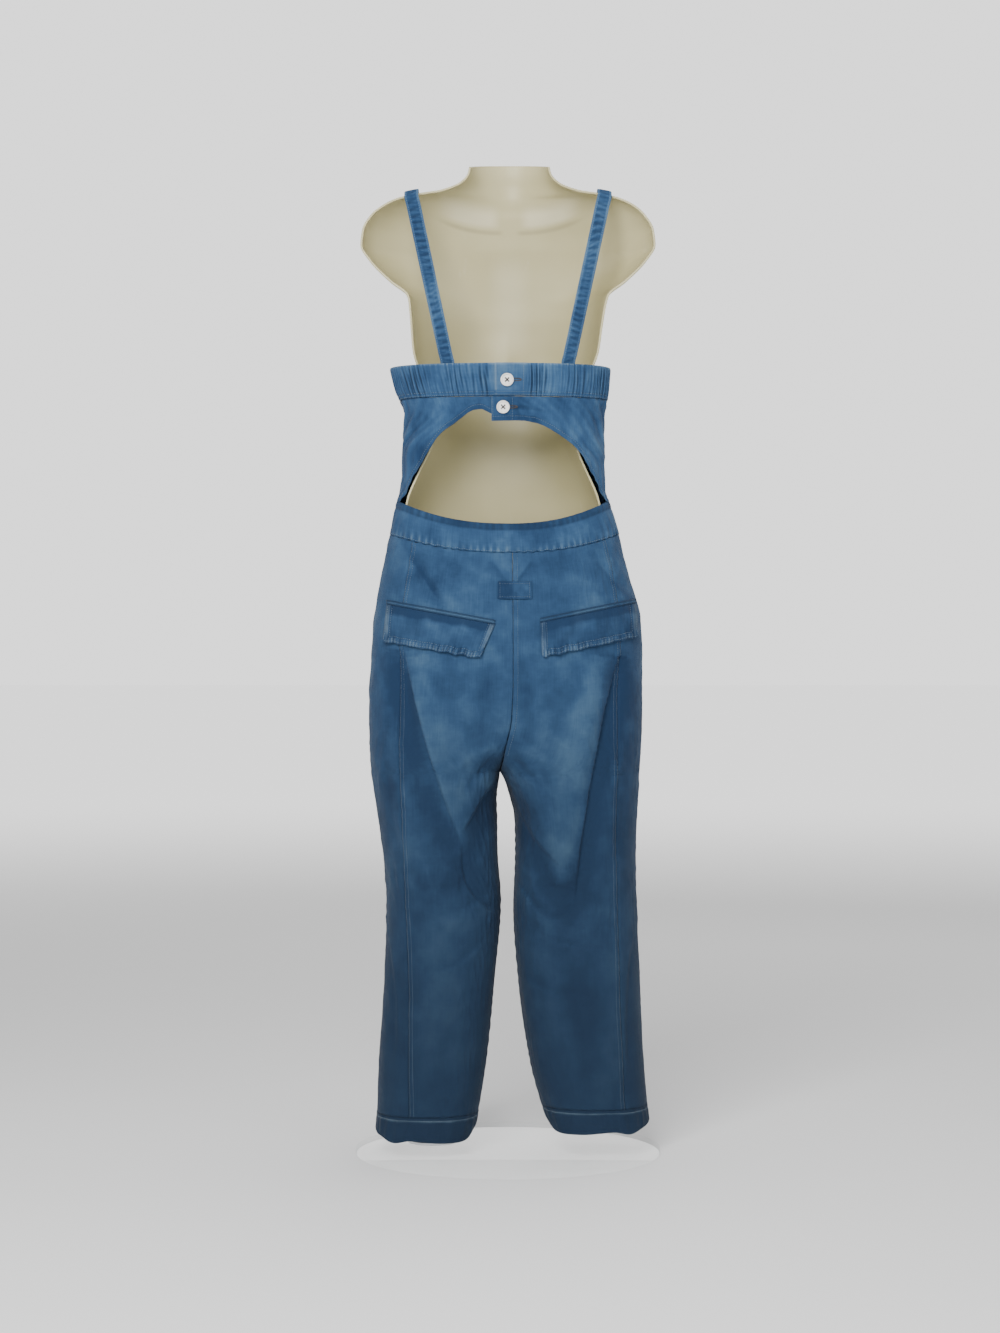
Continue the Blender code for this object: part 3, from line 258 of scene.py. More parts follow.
frontCreases = [
    (-0.012, 0.560, -0.050, 0.560, -0.100, 0.580, 0.0080, -0.0026),
    (0.004, 0.560, 0.046, 0.558, 0.100, 0.584, 0.0080, -0.0026),
    (-0.014, 0.545, -0.050, 0.535, -0.090, 0.548, 0.0070, 0.0018),
    (0.002, 0.545, 0.042, 0.535, 0.088, 0.548, 0.0070, 0.0018),
    (-0.010, 0.580, -0.040, 0.596, -0.080, 0.630, 0.0090, -0.0018),
    (0.010, 0.580, 0.044, 0.598, 0.086, 0.634, 0.0090, -0.0018),
    (-0.050, 0.370, -0.090, 0.350, -0.130, 0.372, 0.0110, -0.0028),
    (0.050, 0.365, 0.090, 0.345, 0.130, 0.368, 0.0110, -0.0028),
    (-0.050, 0.320, -0.090, 0.305, -0.130, 0.325, 0.0110, 0.0020),
    (0.050, 0.315, 0.090, 0.300, 0.130, 0.320, 0.0110, 0.0020),
    (-0.130, 0.200, -0.110, 0.150, -0.120, 0.090, 0.0120, -0.0016),
    (0.140, 0.210, 0.120, 0.150, 0.130, 0.100, 0.0120, -0.0016),
    (-0.110, 0.830, -0.090, 0.790, -0.080, 0.740, 0.0100, -0.0018),
    (0.110, 0.830, 0.090, 0.790, 0.080, 0.740, 0.0100, -0.0018),
    (-0.060, 1.030, -0.080, 0.980, -0.090, 0.915, 0.0120, -0.0020),
    (0.060, 1.030, 0.080, 0.980, 0.090, 0.915, 0.0120, -0.0020),
    (-0.020, 0.990, -0.030, 0.950, -0.030, 0.910, 0.0110, 0.0014),
    (0.020, 0.990, 0.030, 0.950, 0.030, 0.910, 0.0110, 0.0014),
]


def creaseCurve(row):
    x0, z0, x1, z1, x2, z2, width, out, side = (*row, 0)[:9]
    t = np.linspace(0, 1, 40)
    x = (1 - t) ** 2 * x0 + 2 * t * (1 - t) * x1 + t**2 * x2
    z = (1 - t) ** 2 * z0 + 2 * t * (1 - t) * z1 + t**2 * z2
    # soft ends and a slightly uneven middle
    strength = np.sin(math.pi * t) ** 0.5 * (1 + 0.18 * np.sin(9 * t + 40 * x0) * np.sin(math.pi * t))
    return x, z, strength * out, width, side


creaseCurves = {
    "back": [creaseCurve(row) for row in backFolds + backCreases + sharpFolds],
    "front": [creaseCurve(row) for row in frontFolds + frontCreases],
}


creaseLook = {"edge": 0.0028, "lip": 0.40, "lipReach": 0.5, "softFar": 3, "sharpFar": 5}


def creaseOffset(face, x, z):
    look = creaseLook
    total = np.zeros_like(x)
    for xs, zs, strengths, width, side in creaseCurves[face]:
        far = look["sharpFar" if side else "softFar"] * width
        beside = (x > xs.min() - far) & (x < xs.max() + far)
        near = np.flatnonzero(beside & (z > zs.min() - far) & (z < zs.max() + far))
        if len(near) == 0:
            continue
        away = np.hypot(xs[None, :] - x[near, None], zs[None, :] - z[near, None])
        nearest = away.argmin(axis=1)
        distance = away[np.arange(len(near)), nearest]
        fall = bell(distance, width)
        if side:
            wayX, wayZ = np.gradient(xs)[nearest], np.gradient(zs)[nearest]
            cross = wayX * (z[near] - zs[nearest]) - wayZ * (x[near] - xs[nearest])
            distance = distance * np.sign(cross) * side
            edge = smoothStep(-look["edge"], look["edge"], distance)
            shade = np.exp(-np.maximum(distance, 0) / width) * edge
            lip = np.exp(np.minimum(distance, 0) / (look["lipReach"] * width)) * (1 - edge)
            fall = look["lip"] * lip - shade
        total[near] += strengths[nearest] * fall
    return total


# Soft unevenness of worn cloth, the same each run
softWaves = np.random.RandomState(11).uniform(-1, 1, (14, 4))


def slackness(x, z, size=0.045):
    total = np.zeros_like(x)
    for kx, kz, phase, turn in softWaves:
        warp = phase * 9 + 3 * np.sin(turn * 7 + z * 11)
        total += np.sin((x * (1.6 * kx) + z * kz) * 2 * math.pi / size + warp)
    return total / len(softWaves)


# Crumples: soft crossed ridges, mostly slanting
crumpleRuns = np.random.RandomState(23).uniform(-1, 1, (7, 4))


def crumples(x, z):
    total = np.zeros_like(x)
    for slant, size, phase, warp in crumpleRuns:
        angle = math.pi / 4 * slant + (math.pi / 2 if phase > 0 else 0)
        along = x * math.cos(angle) + z * math.sin(angle)
        aside = -x * math.sin(angle) + z * math.cos(angle)
        bend = 0.8 * np.sin(aside * (60 + 30 * warp) + phase * 9) + 0.5 * np.sin(along * 23 + warp * 7)
        ridge = 1 - np.abs(np.sin(along * math.pi / (0.040 + 0.014 * size) + bend))
        patch = np.sin(aside * 31 + phase * 5) * np.sin(along * 17 + 8 * size + aside * 9)
        total += (ridge**2 - 0.3) * smoothStep(-0.1, 0.7, patch)
    return total / 3


# Heights where the cloth crumples most, and how far about them: below the waist, at the crotch, at the knee
crumpleHeights = ((0.825, 0.035), (0.530, 0.050), (0.350, 0.060))


def crowded(z):
    return 0.9 + sum(1.1 * bell(z - place, reach) for place, reach in crumpleHeights)


foldShadeLook = {"depth": 0.0042, "darkest": -1.5, "palest": 0.55, "crumples": 0.34, "frontFrom": 0.03}


# Painted shade in the fold troughs and painted highlight on the fold ridges and crumples, partly also denim's
# real fading on its ridges
def foldShadeAndFade(points):
    look = foldShadeLook
    x, z = points[:, 0], points[:, 2]
    back = creaseOffset("back", x, z + backDip.at("dip", z))
    front = creaseOffset("front", x, z - frontRise.at("rise", z))
    folds = np.where(points[:, 1] < look["frontFrom"], back, front)
    folds = np.clip(folds / look["depth"], look["darkest"], look["palest"])
    return folds + look["crumples"] * crumples(x, z) * crowded(z)


def bustOffset(x, z):
    across = (np.abs(x) - bust["x"]) / bust["width"]
    return bust["depth"] * np.exp(-(across**2) - ((z - bust["z"]) / bust["height"]) ** 2)


# How loosely the cloth hangs: soft unevenness, crumples, and the scallops along the waistband's seam
hang = {"slack": 0.0011, "crumple": 0.0014, "from": 1.02, "full": 0.94, "inner": 1.6}
scallop = {"size": 0.0008, "pitch": 0.0125, "reach": 0.006}


# A point of the cloth's outer face: angle 0 at the inner leg, then back, side seam and front
def bodyPoint(side, angle, z, out=0.0):
    table, sign = halves[side], signOf[side]
    angle, z = np.broadcast_arrays(np.asarray(angle, float), np.asarray(z, float))
    shape = angle.shape
    angle, z = angle.ravel(), z.ravel()
    out = np.broadcast_to(np.asarray(out, float), shape).ravel()
    middle = table.at("mid", z)
    reach = sign * (table.at("out", z) - middle)
    atBack = angle < math.pi
    depth = np.where(atBack, table.at("back", z), table.at("front", z))
    cosine, sine = np.cos(angle), np.sin(angle)
    square = np.where(cosine > 0, inseamSquareness.at("n", z), cloth["squareness"])
    across = -np.sign(cosine) * np.abs(cosine) ** (2 / square) * reach
    deep = np.sign(sine) * np.abs(sine) ** (2 / square) * depth
    x = middle + sign * across
    folds = np.where(atBack, creaseOffset("back", x, z), creaseOffset("front", x, z))
    # where two legs meet, their cloth stays true to the seam
    fromSeam = np.minimum(1, hang["inner"] * np.abs(sine))
    out = out + fromSeam * folds
    crumpled = hang["crumple"] * crumples(x + 0.3 * (1 - np.abs(sine)), z) * crowded(z)
    slack = hang["slack"] * slackness(x + 0.05 * np.abs(sine), z) + crumpled
    out = out + slack * np.where(cosine > 0, fromSeam, 1) * smoothStep(hang["from"], hang["full"], z)
    normal = unit(np.stack([sign * across / reach**2, -deep / depth**2], axis=1))
    dip = backDip.at("dip", z) * sine**2
    rise = frontRise.at("rise", z) * sine**2
    x = x + out * normal[:, 0]
    y = table.at("y", z) - deep + out * normal[:, 1] + np.where(atBack, 0, bustOffset(x, z) * sine**2)
    wave = scallop["size"] * puckers(x, scallop["pitch"], 2.0)
    wave = wave * bell(z - levels["waistbandBottom"], scallop["reach"])
    z = z + np.where(atBack, -dip, rise) + wave
    return np.stack([x, y, z], axis=1).reshape(*shape, 3)


def angleAt(side, x, z):
    table, sign = halves[side], signOf[side]
    middle = table.at("mid", z)
    share = np.clip(sign * (x - middle) / (sign * (table.at("out", z) - middle)), -1, 1)
    square = np.where(share < 0, inseamSquareness.at("n", z), cloth["squareness"])
    return np.arccos(-np.sign(share) * np.abs(share) ** (square / 2))


# A turn about the body: 0 at the centre back, a quarter turn at the right side seam, and on to the front
def roundPoint(turn, z, out=0.0):
    turn = (np.asarray(turn, float) + math.pi) % (2 * math.pi) - math.pi
    right = bodyPoint("right", math.pi / 2 + np.abs(turn), z, out)
    left = bodyPoint("left", math.pi / 2 + np.abs(turn), z, out)
    return np.where((turn > 0)[..., None], right, left)


# A piece of the cloth's skin. at(across, up) gives its points, with both from 0 to 1, and spaces
# them evenly along the cloth, so that a share of the width is a true distance from the edge
class Skin:
    def __init__(self, point, heights, starts, ends, relief):
        self.point, self.heights, self.relief = point, np.asarray(heights, float), relief
        fine = np.linspace(0, 1, 97)
        starts, ends = (np.broadcast_to(a, self.heights.shape).astype(float) for a in (starts, ends))
        spread = starts[:, None] * (1 - fine) + ends[:, None] * fine
        laid = point(spread, self.heights[:, None] + 0 * spread, 0.0)
        steps = np.linalg.norm(np.diff(laid, axis=1), axis=2)
        lengths = np.concatenate([np.zeros((len(heights), 1)), np.cumsum(steps, axis=1)], axis=1)
        self.widths = lengths[:, -1]
        self.spread = np.array([np.interp(fine * l[-1], l, a) for l, a in zip(lengths, spread)])
        self.tall = abs(self.heights[-1] - self.heights[0])

    def size(self):
        return float(self.widths.max()), self.tall

    def area(self):
        return float(np.trapz(self.widths, np.linspace(0, self.tall, len(self.widths))))

    def at(self, across, up, lift=0.0):
        across, up = np.broadcast_arrays(np.asarray(across, float), np.asarray(up, float))
        row = np.clip(up, 0, 1) * (len(self.heights) - 1)
        column = np.clip(across, 0, 1) * (self.spread.shape[1] - 1)
        i = np.minimum(row.astype(int), len(self.heights) - 2)
        j = np.minimum(column.astype(int), self.spread.shape[1] - 2)
        f, g = row - i, column - j
        turn = (self.spread[i, j] * (1 - g) + self.spread[i, j + 1] * g) * (1 - f)
        turn = turn + (self.spread[i + 1, j] * (1 - g) + self.spread[i + 1, j + 1] * g) * f
        z = self.heights[i] * (1 - f) + self.heights[i + 1] * f
        width = self.widths[i] * (1 - f) + self.widths[i + 1] * f
        out = self.relief(across * width, (1 - across) * width, up * self.tall, z)
        return self.point(turn, z, out + lift)


# Meshes


def gridObject(name, grid, place, size, material, flip=False, wall=None, wear=None, dye=None):
    builder = bmesh.new()
    bmesh.ops.create_grid(builder, x_segments=grid[0], y_segments=grid[1], size=0.5)
    mesh = bpy.data.meshes.new(name)
    if flip:
        bmesh.ops.reverse_faces(builder, faces=builder.faces[:])
    builder.to_mesh(mesh)
    builder.free()
    flat = np.empty(len(mesh.vertices) * 3)
    mesh.vertices.foreach_get("co", flat)
    across, up = flat[0::3] + 0.5, flat[1::3] + 0.5
    mesh.vertices.foreach_set("co", np.ascontiguousarray(place(across, up)).ravel())
    corner = np.empty(len(mesh.loops), np.int32)
    mesh.loops.foreach_get("vertex_index", corner)
    laid = np.stack([across[corner] * size[0], up[corner] * size[1]], axis=1)
    mesh.uv_layers.new(name="cloth").data.foreach_set("uv", laid.ravel())
    # pale wear where positive; below zero it marks painted shade in grooves, troughs and joins
    worn = mesh.attributes.new("wear", "FLOAT", "POINT")
    worn.data.foreach_set("value", np.zeros(len(across)) if wear is None else wear(across, up))
    # this layer carries the folds' painted shade and highlight with some real fading, and each piece's own
    # tone and painted shade
    shadeAndFadeLayer = mesh.attributes.new("shadeAndFade", "FLOAT", "POINT")
    # each piece's own tone, and in some pieces painted shade
    tone = 0 if dye is None else dye(across, up)
    shadeAndFadeLayer.data.foreach_set("value", foldShadeAndFade(np.ascontiguousarray(place(across, up))) + tone)
    return finished(name, mesh, material, wall)


def addWall(piece, thickness):
    solid = piece.modifiers.new("wall", "SOLIDIFY")
    solid.thickness, solid.offset, solid.use_quality_normals = thickness, -1.0, True


def finished(name, mesh, material, wall=None):
    mesh.materials.append(material)
    mesh.shade_smooth()
    piece = bpy.data.objects.new(name, mesh)
    bpy.context.scene.collection.objects.link(piece)
    if wall:
        addWall(piece, wall)
    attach(piece, "root")
    return piece


# Each cut piece of cloth with its flat width and length, the area of its cut, how it is held and on what
sheets = []


def clothPiece(name, node, grid, place, size, material, held, rests, area=None, flat=None, **finish):
    piece = gridObject(name, grid, place, size, material, **finish)
    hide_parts(node)
    sheets.append((piece, *(flat or size), area, held, rests))
    return piece


def spunObject(name, profile, material, steps, place):
    builder = bmesh.new()
    verts = [builder.verts.new((radius, 0, height)) for radius, height in profile]
    edges = [builder.edges.new(pair) for pair in zip(verts, verts[1:])]
    around = {"axis": (0, 0, 1), "cent": (0, 0, 0), "angle": 2 * math.pi, "steps": steps}
    bmesh.ops.spin(builder, geom=verts + edges, use_merge=True, **around)
    bmesh.ops.remove_doubles(builder, verts=builder.verts, dist=1e-6)
    bmesh.ops.recalc_face_normals(builder, faces=builder.faces)
    bmesh.ops.transform(builder, matrix=place, verts=builder.verts)
    mesh = bpy.data.meshes.new(name)
    builder.to_mesh(mesh)
    builder.free()
    piece = finished(name, mesh, material)
    mesh.set_sharp_from_angle(angle=math.radians(35))
    return piece


# Materials


class Wave:
    def __init__(self, maker, socket):
        self.maker, self.socket = maker, socket

    def maths(self, operation, first, second):
        return self.maker.node("ShaderNodeMath", {"operation": operation}, {0: first, 1: second})

    def __add__(self, other):
        return self.maths("ADD", self, other)

    def __radd__(self, other):
        return self.maths("ADD", other, self)

    def __sub__(self, other):
        return self.maths("SUBTRACT", self, other)

    def __rsub__(self, other):
        return self.maths("SUBTRACT", other, self)

    def __mul__(self, other):
        return self.maths("MULTIPLY", self, other)

    def __rmul__(self, other):
        return self.maths("MULTIPLY", other, self)

    def __truediv__(self, other):
        return self.maths("DIVIDE", self, other)

    def __pow__(self, other):
        return self.maths("POWER", self, other)

    def sine(self):
        return self.maths("SINE", self, 0.0)

    def clamped(self):
        return self.maker.node("ShaderNodeClamp", {}, {"Value": self})

    def magnitude(self):
        return self.maths("ABSOLUTE", self, 0.0)

    def between(self, low, high):
        inputs = {"Value": self, "From Min": low, "From Max": high}
        return self.maker.node("ShaderNodeMapRange", {"interpolation_type": "SMOOTHSTEP"}, inputs)


class MaterialMaker:
    def __init__(self, name, **constants):
        self.material = bpy.data.materials.new(name)
        self.material.use_nodes = True
        self.tree = self.material.node_tree
        self.shader = self.tree.nodes["Principled BSDF"]
        for socket, value in constants.items():
            self.shader.inputs[socket.replace("_", " ")].default_value = value

    def node(self, kind, settings, inputs, output=0):
        made = self.tree.nodes.new(kind)
        for name, value in settings.items():
            setattr(made, name, value)
        for key, value in inputs.items():
            if isinstance(value, Wave):
                self.tree.links.new(value.socket, made.inputs[key])
            else:
                made.inputs[key].default_value = value
        return Wave(self, made.outputs[output])

    def place(self):
        return self.node("ShaderNodeTexCoord", {}, {}, "Object")

    def laid(self):
        return self.node("ShaderNodeUVMap", {"uv_map": "cloth"}, {})

    def stretched(self, where, scale):
        return self.node("ShaderNodeMapping", {}, {"Vector": where, "Scale": scale})

    def parts(self, where):
        split = self.tree.nodes.new("ShaderNodeSeparateXYZ")
        self.tree.links.new(where.socket, split.inputs[0])
        return [Wave(self, split.outputs[i]) for i in range(3)]

    def noise(self, where, scale, detail=2.0, roughness=0.5):
        inputs = {"Vector": where, "Scale": scale, "Detail": detail, "Roughness": roughness}
        return self.node("ShaderNodeTexNoise", {}, inputs)

    def attribute(self, name):
        return self.node("ShaderNodeAttribute", {"attribute_name": name}, {}, "Fac")

    def blend(self, share, first, second):
        made = self.tree.nodes.new("ShaderNodeMix")
        made.data_type = "RGBA"
        for key, value in ((0, share), (6, first), (7, second)):
            if isinstance(value, Wave):
                self.tree.links.new(value.socket, made.inputs[key])
            elif key:
                made.inputs[key].default_value = (*value, 1.0)
            else:
                made.inputs[key].default_value = value
        return Wave(self, made.outputs[2])

    def feed(self, socket, value):
        self.tree.links.new(value.socket, self.shader.inputs[socket])

    def bump(self, height, strength, distance):
        inputs = {"Height": height, "Strength": strength, "Distance": distance}
        self.feed("Normal", self.node("ShaderNodeBump", {}, inputs))


denimLook = {
    "indigo": (0.007, 0.024, 0.066),
    "mid": (0.026, 0.067, 0.143),
    "light": (0.076, 0.150, 0.236),
    "bleach": (0.190, 0.270, 0.330),
    "paintedShadeBlue": (0.006, 0.013, 0.028),
    "shadeAndFade": 0.34,
    "twill": 950.0,
    "slub": 420.0,
    "washScale": 13.0,
    "mottleScale": 40.0,
}


def denimMaterial(name, brightness=0.0, shade=0.0):
    look = denimLook
    matt = {"Roughness": 0.88, "Sheen_Weight": 0.04, "Sheen_Roughness": 0.4, "Specular_IOR_Level": 0.12}
    maker = MaterialMaker(name, **matt)
    laid, place = maker.laid(), maker.place()
    u, v, _ = maker.parts(laid)
    twill = ((u * 1.25 + v) * (look["twill"] * 2 * math.pi)).sine() * 0.5 + 0.5
    slubs = maker.noise(maker.stretched(laid, (look["slub"], 26.0, 1.0)), 1.0, 2.0, 0.6)
    weft = maker.noise(maker.stretched(laid, (60.0, look["slub"] * 0.8, 1.0)), 1.0, 2.0, 0.6)
    wash = maker.noise(place, look["washScale"], 3.0, 0.55)
    mottle = maker.noise(place, look["mottleScale"], 3.0, 0.6)
    wear = maker.attribute("wear")
    z = maker.parts(place)[2]
    pale = (wash - 0.5) * 1.0 + (mottle - 0.5) * 0.45 + 0.46 + brightness
    # the folds' painted shade and highlight, partly real fading, darken and lighten the colour here
    pale = pale + (slubs - 0.5) * 0.30 + (weft - 0.5) * 0.16 + maker.attribute("shadeAndFade") * look["shadeAndFade"]
    colour = maker.blend(pale.between(0.05, 0.62), look["indigo"], look["mid"])
    colour = maker.blend(pale.between(0.42, 1.05), colour, look["light"])
    # painted shade: the cloth is palest at the bodice and darkens towards the hems, in steps below the waist
    # and below the crotch, standing in for the light falling off lower down; the shade argument darkens a
    # whole copy further
    down = z * -1.0
    low = (1.0 - (down + 1.0).between(0.10, 0.94) * 0.82) * (1.0 - (down + 0.93).between(0.0, 0.13) * 0.22)
    low = 1.0 - low * (1.0 - (down + 0.66).between(0.0, 0.16) * 0.16) * (1.0 - shade)
    colour = maker.blend(low, colour, look["paintedShadeBlue"])
    rubbed = (wear * (mottle * 1.3 + slubs * 0.5)).between(0.10, 1.0) * 0.8
    colour = maker.blend(rubbed * (1.0 - low * 0.6), colour, look["bleach"])
    # painted shade: where the wear layer is below zero, in seam grooves, stitch lines, gather troughs and the
    # joins between pieces, the colour goes to the dark shade blue
    paintedGrooveShade = (wear * -1.0).between(0.05, 0.9) * 0.7
    colour = maker.blend(paintedGrooveShade, colour, look["paintedShadeBlue"])
    colour = maker.blend(twill * 0.08, colour, look["light"])
    maker.feed("Base Color", colour)
    maker.feed("Roughness", 0.92 - rubbed * 0.12 - mottle * 0.06)
    maker.bump(twill * 0.35 + slubs * 0.9 + weft * 0.5 + mottle * 0.6, 0.35, 0.0006)
    return maker.material


def threadMaterial(name, colour):
    maker = MaterialMaker(name, Roughness=0.6, Sheen_Weight=0.2)
    place = maker.place()
    tone = maker.noise(place, 220.0, 2.0)
    maker.feed("Base Color", maker.blend(tone, tuple(c * 0.72 for c in colour), colour))
    maker.feed("Roughness", 0.55 + tone * 0.2)
    maker.bump(maker.noise(place, 2600.0, 1.0), 0.3, 0.0002)
    return maker.material


collarboneShading = {"x": 0.003, "z": 1.278, "rise": 0.0195, "inner": 0.016, "long": 0.091}


def plasticMaterial(name):
    maker = MaterialMaker(name, Roughness=0.42, Specular_IOR_Level=0.45)
    place = maker.place()
    x, _, z = maker.parts(place)
    # painted shade and highlight in place of relief in the chest: dark lines along the collarbones, and the
    # hollows above them and the breastbone painted lighter
    bone = collarboneShading
    aside = (x - bone["x"]).magnitude()
    above = z - bone["z"] - ((aside - bone["inner"]).clamped() / bone["long"]) ** 2.2 * bone["rise"]
    line = (1 - above.magnitude().between(0.0004, 0.0050)) * aside.between(0.006, 0.018)
    line = line * (1 - aside.between(0.075, 0.115))
    hollow = above.between(0.003, 0.012) * (1 - above.between(0.020, 0.042))
    hollow = hollow * aside.between(0.010, 0.030) * (1 - aside.between(0.070, 0.105))
    breastboneLight = (1 - aside.between(0.004, 0.036)) * z.between(1.09, 1.15) * (1 - z.between(1.21, 1.26))
    cloudy = maker.noise(place, 5.0, 3.0)
    fine = maker.noise(place, 260.0, 2.0)
    scuff = maker.noise(maker.stretched(place, (30.0, 30.0, 6.0)), 1.0, 4.0, 0.65)
    colour = maker.blend(cloudy.between(0.3, 0.7), (0.385, 0.345, 0.185), (0.462, 0.420, 0.243))
    colour = maker.blend(scuff.between(0.60, 0.78) * 0.25, colour, (0.560, 0.530, 0.420))
    colour = maker.blend((hollow * 0.55 + breastboneLight * 0.35).clamped(), colour, (0.600, 0.560, 0.400))
    colour = maker.blend(line * 0.42, colour, (0.225, 0.198, 0.105))
    maker.feed("Base Color", colour)
    maker.feed("Roughness", 0.36 + cloudy * 0.10 + scuff * 0.08)
    maker.bump(fine * 0.6 + scuff * 0.4, 0.08, 0.0004)
    return maker.material


def buttonMaterial(name):
    maker = MaterialMaker(name, Roughness=0.22, Coat_Weight=0.3, Coat_Roughness=0.12)
    place = maker.place()
    swirl = maker.noise(maker.stretched(place, (220.0, 220.0, 90.0)), 1.0, 3.0, 0.6)
    maker.feed("Base Color", maker.blend(swirl.between(0.25, 0.75), (0.66, 0.65, 0.61), (0.84, 0.83, 0.80)))
    maker.feed("Roughness", 0.18 + swirl * 0.14)
    maker.bump(swirl, 0.06, 0.0002)
    return maker.material


def steelMaterial(name):
    maker = MaterialMaker(name, Metallic=1.0, Roughness=0.28)
    place = maker.place()
    brushed = maker.noise(maker.stretched(place, (40.0, 40.0, 1400.0)), 1.0, 2.0)
    maker.feed("Base Color", maker.blend(brushed, (0.52, 0.53, 0.55), (0.66, 0.67, 0.69)))
    maker.feed("Roughness", 0.24 + brushed * 0.14)
    maker.bump(brushed, 0.10, 0.0001)
    return maker.material


def clearMaterial(name):
    maker = MaterialMaker(name, Roughness=0.04, Alpha=0.10, Specular_IOR_Level=0.12)
    place = maker.place()
    smudge = maker.noise(place, 14.0, 3.0, 0.6)
    maker.feed("Base Color", maker.blend(smudge, (0.30, 0.35, 0.34), (0.38, 0.43, 0.42)))
    maker.feed("Roughness", smudge.between(0.45, 0.85) * 0.06 + 0.02)
    maker.feed("Alpha", smudge.between(0.4, 0.9) * 0.05 + 0.08)
    maker.bump(smudge, 0.02, 0.0002)
    return maker.material


denim = denimMaterial("denim cloth")
paleDenim = denimMaterial("pale denim", brightness=0.06)
# the hems' copy: darker in tone, with more painted shade for the dimmer light at the bottom
darkShadedDenim = denimMaterial("dark shaded denim", brightness=-0.10, shade=0.50)
paleThread = threadMaterial("pale thread", (0.085, 0.135, 0.180))
deepThread = threadMaterial("deep thread", (0.040, 0.075, 0.115))
rustThread = threadMaterial("buttonhole thread", (0.026, 0.018, 0.017))
plastic = plasticMaterial("moulded plastic")
buttonWhite = buttonMaterial("button white")
steel = steelMaterial("brushed steel")
glass = clearMaterial("clear glass")
print("materials made")

# Stitches are small grains of thread, sunk a little into the cloth
stitch = {"length": 0.0025, "pitch": 0.0034, "width": 0.00062, "height": 0.00045, "lift": 0.0001}
stitchLines = []
legStitchLines = []


def addStitches(skin, across, up, lines=stitchLines):
    across, up = np.broadcast_arrays(np.asarray(across, float), np.asarray(up, float))
    lift, e = stitch["lift"], 0.002
    beside = skin.at(np.clip(across + e, 0, 1), up, lift) - skin.at(np.clip(across - e, 0, 1), up, lift)
    above = skin.at(across, np.clip(up + e, 0, 1), lift) - skin.at(across, np.clip(up - e, 0, 1), lift)
    lines.append((skin.at(across, up, lift), unit(np.cross(beside, above))))


def makeStitches(name, material, lines, size):
    builder = bmesh.new()
    bmesh.ops.create_icosphere(builder, subdivisions=1, radius=0.5)
    grain = np.array([vertex.co for vertex in builder.verts])
    grainFaces = np.array([[vertex.index for vertex in face.verts] for face in builder.faces])
    builder.free()
    grain = grain * (size["length"], size["width"], size["height"])
    corners, faces = [], []
    for points, normals in lines:
        along = lengthsAlong(points)
        s = np.arange(size["pitch"] / 2, along[-1], size["pitch"])
        centre = readAlong(s, along, points)
        up = unit(readAlong(s, along, normals))
        way = unit(readAlong(s + 0.0008, along, points) - readAlong(s - 0.0008, along, points))
        side = unit(np.cross(up, way))
        up = np.cross(way, side)
        for place, axes in zip(centre, np.stack([way, side, up], axis=1)):
            faces.append(grainFaces + len(grain) * len(corners))
            corners.append(place + grain @ axes)
    mesh = bpy.data.meshes.new(name)
    mesh.from_pydata(np.concatenate(corners).tolist(), [], np.concatenate(faces).tolist())
    return finished(name, mesh, material)


def readAlong(s, along, values):
    return np.stack([np.interp(s, along, column) for column in values.T], axis=1)


# Relief of the cloth near its seams
seamLook = {"ridge": 0.0007, "ridgeWidth": 0.0085, "groove": 0.0005, "pucker": 0.00055, "puckerPitch": 0.0135}


def puckers(along, pitch, seed):
    wander = np.sin(along * 31 + seed) * 2.1 + np.sin(along * 74 + 2 * seed) * 1.2
    uneven = 0.6 + 0.4 * np.sin(along * 47 + seed * 3)
    return np.sin(along * 2 * math.pi / pitch + wander) * uneven


def felledEdge(distance, along, seed):
    # a doubled seam allowance, stitched down, with a groove at the seam itself
    look = seamLook
    ridge = look["ridge"] * smoothStep(look["ridgeWidth"] + 0.002, look["ridgeWidth"] - 0.001, distance)
    groove = -look["groove"] * bell(distance, 0.0012)
    ripple = look["pucker"] * puckers(along, look["puckerPitch"], seed) * bell(distance, 0.010)
    return ridge + groove + ripple


def plainEdge(distance, along, seed):
    look = seamLook
    groove = -look["groove"] * bell(distance, 0.0012)
    ripple = look["pucker"] * puckers(along, look["puckerPitch"], seed) * bell(distance, 0.009)
    return groove + ripple


def edgeWearAndShade(distance, along, seed):
    # pale wear on the raised seam edge, and painted shade in its groove
    patchy = 0.65 + 0.35 * np.sin(along * 120 + seed) * np.sin(along * 43 + 2 * seed)
    rub = bell(distance - 0.0055, 0.0020) * patchy
    return 0.30 * rub - 0.3 * bell(distance, 0.0018)


# Trousers
trousers = {"backColumns": 110, "sideColumns": 40, "frontColumns": 60, "rows": 250, "stitchIn": 0.0062}
waistbands = ["waistband_back", "waistband_front"]


def legHeights(side):
    low = levels["hemTopLeft"] if side == "left" else levels["hemTopRight"]
    leg = np.linspace(low, levels["crotch"], 130)
    crotch = levels["crotch"] + (0.600 - levels["crotch"]) * np.linspace(0, 1, 46)[1:] ** 2
    seat = np.linspace(0.600, levels["waistbandBottom"], 77)[1:]
    return np.concatenate([leg, crotch, seat])


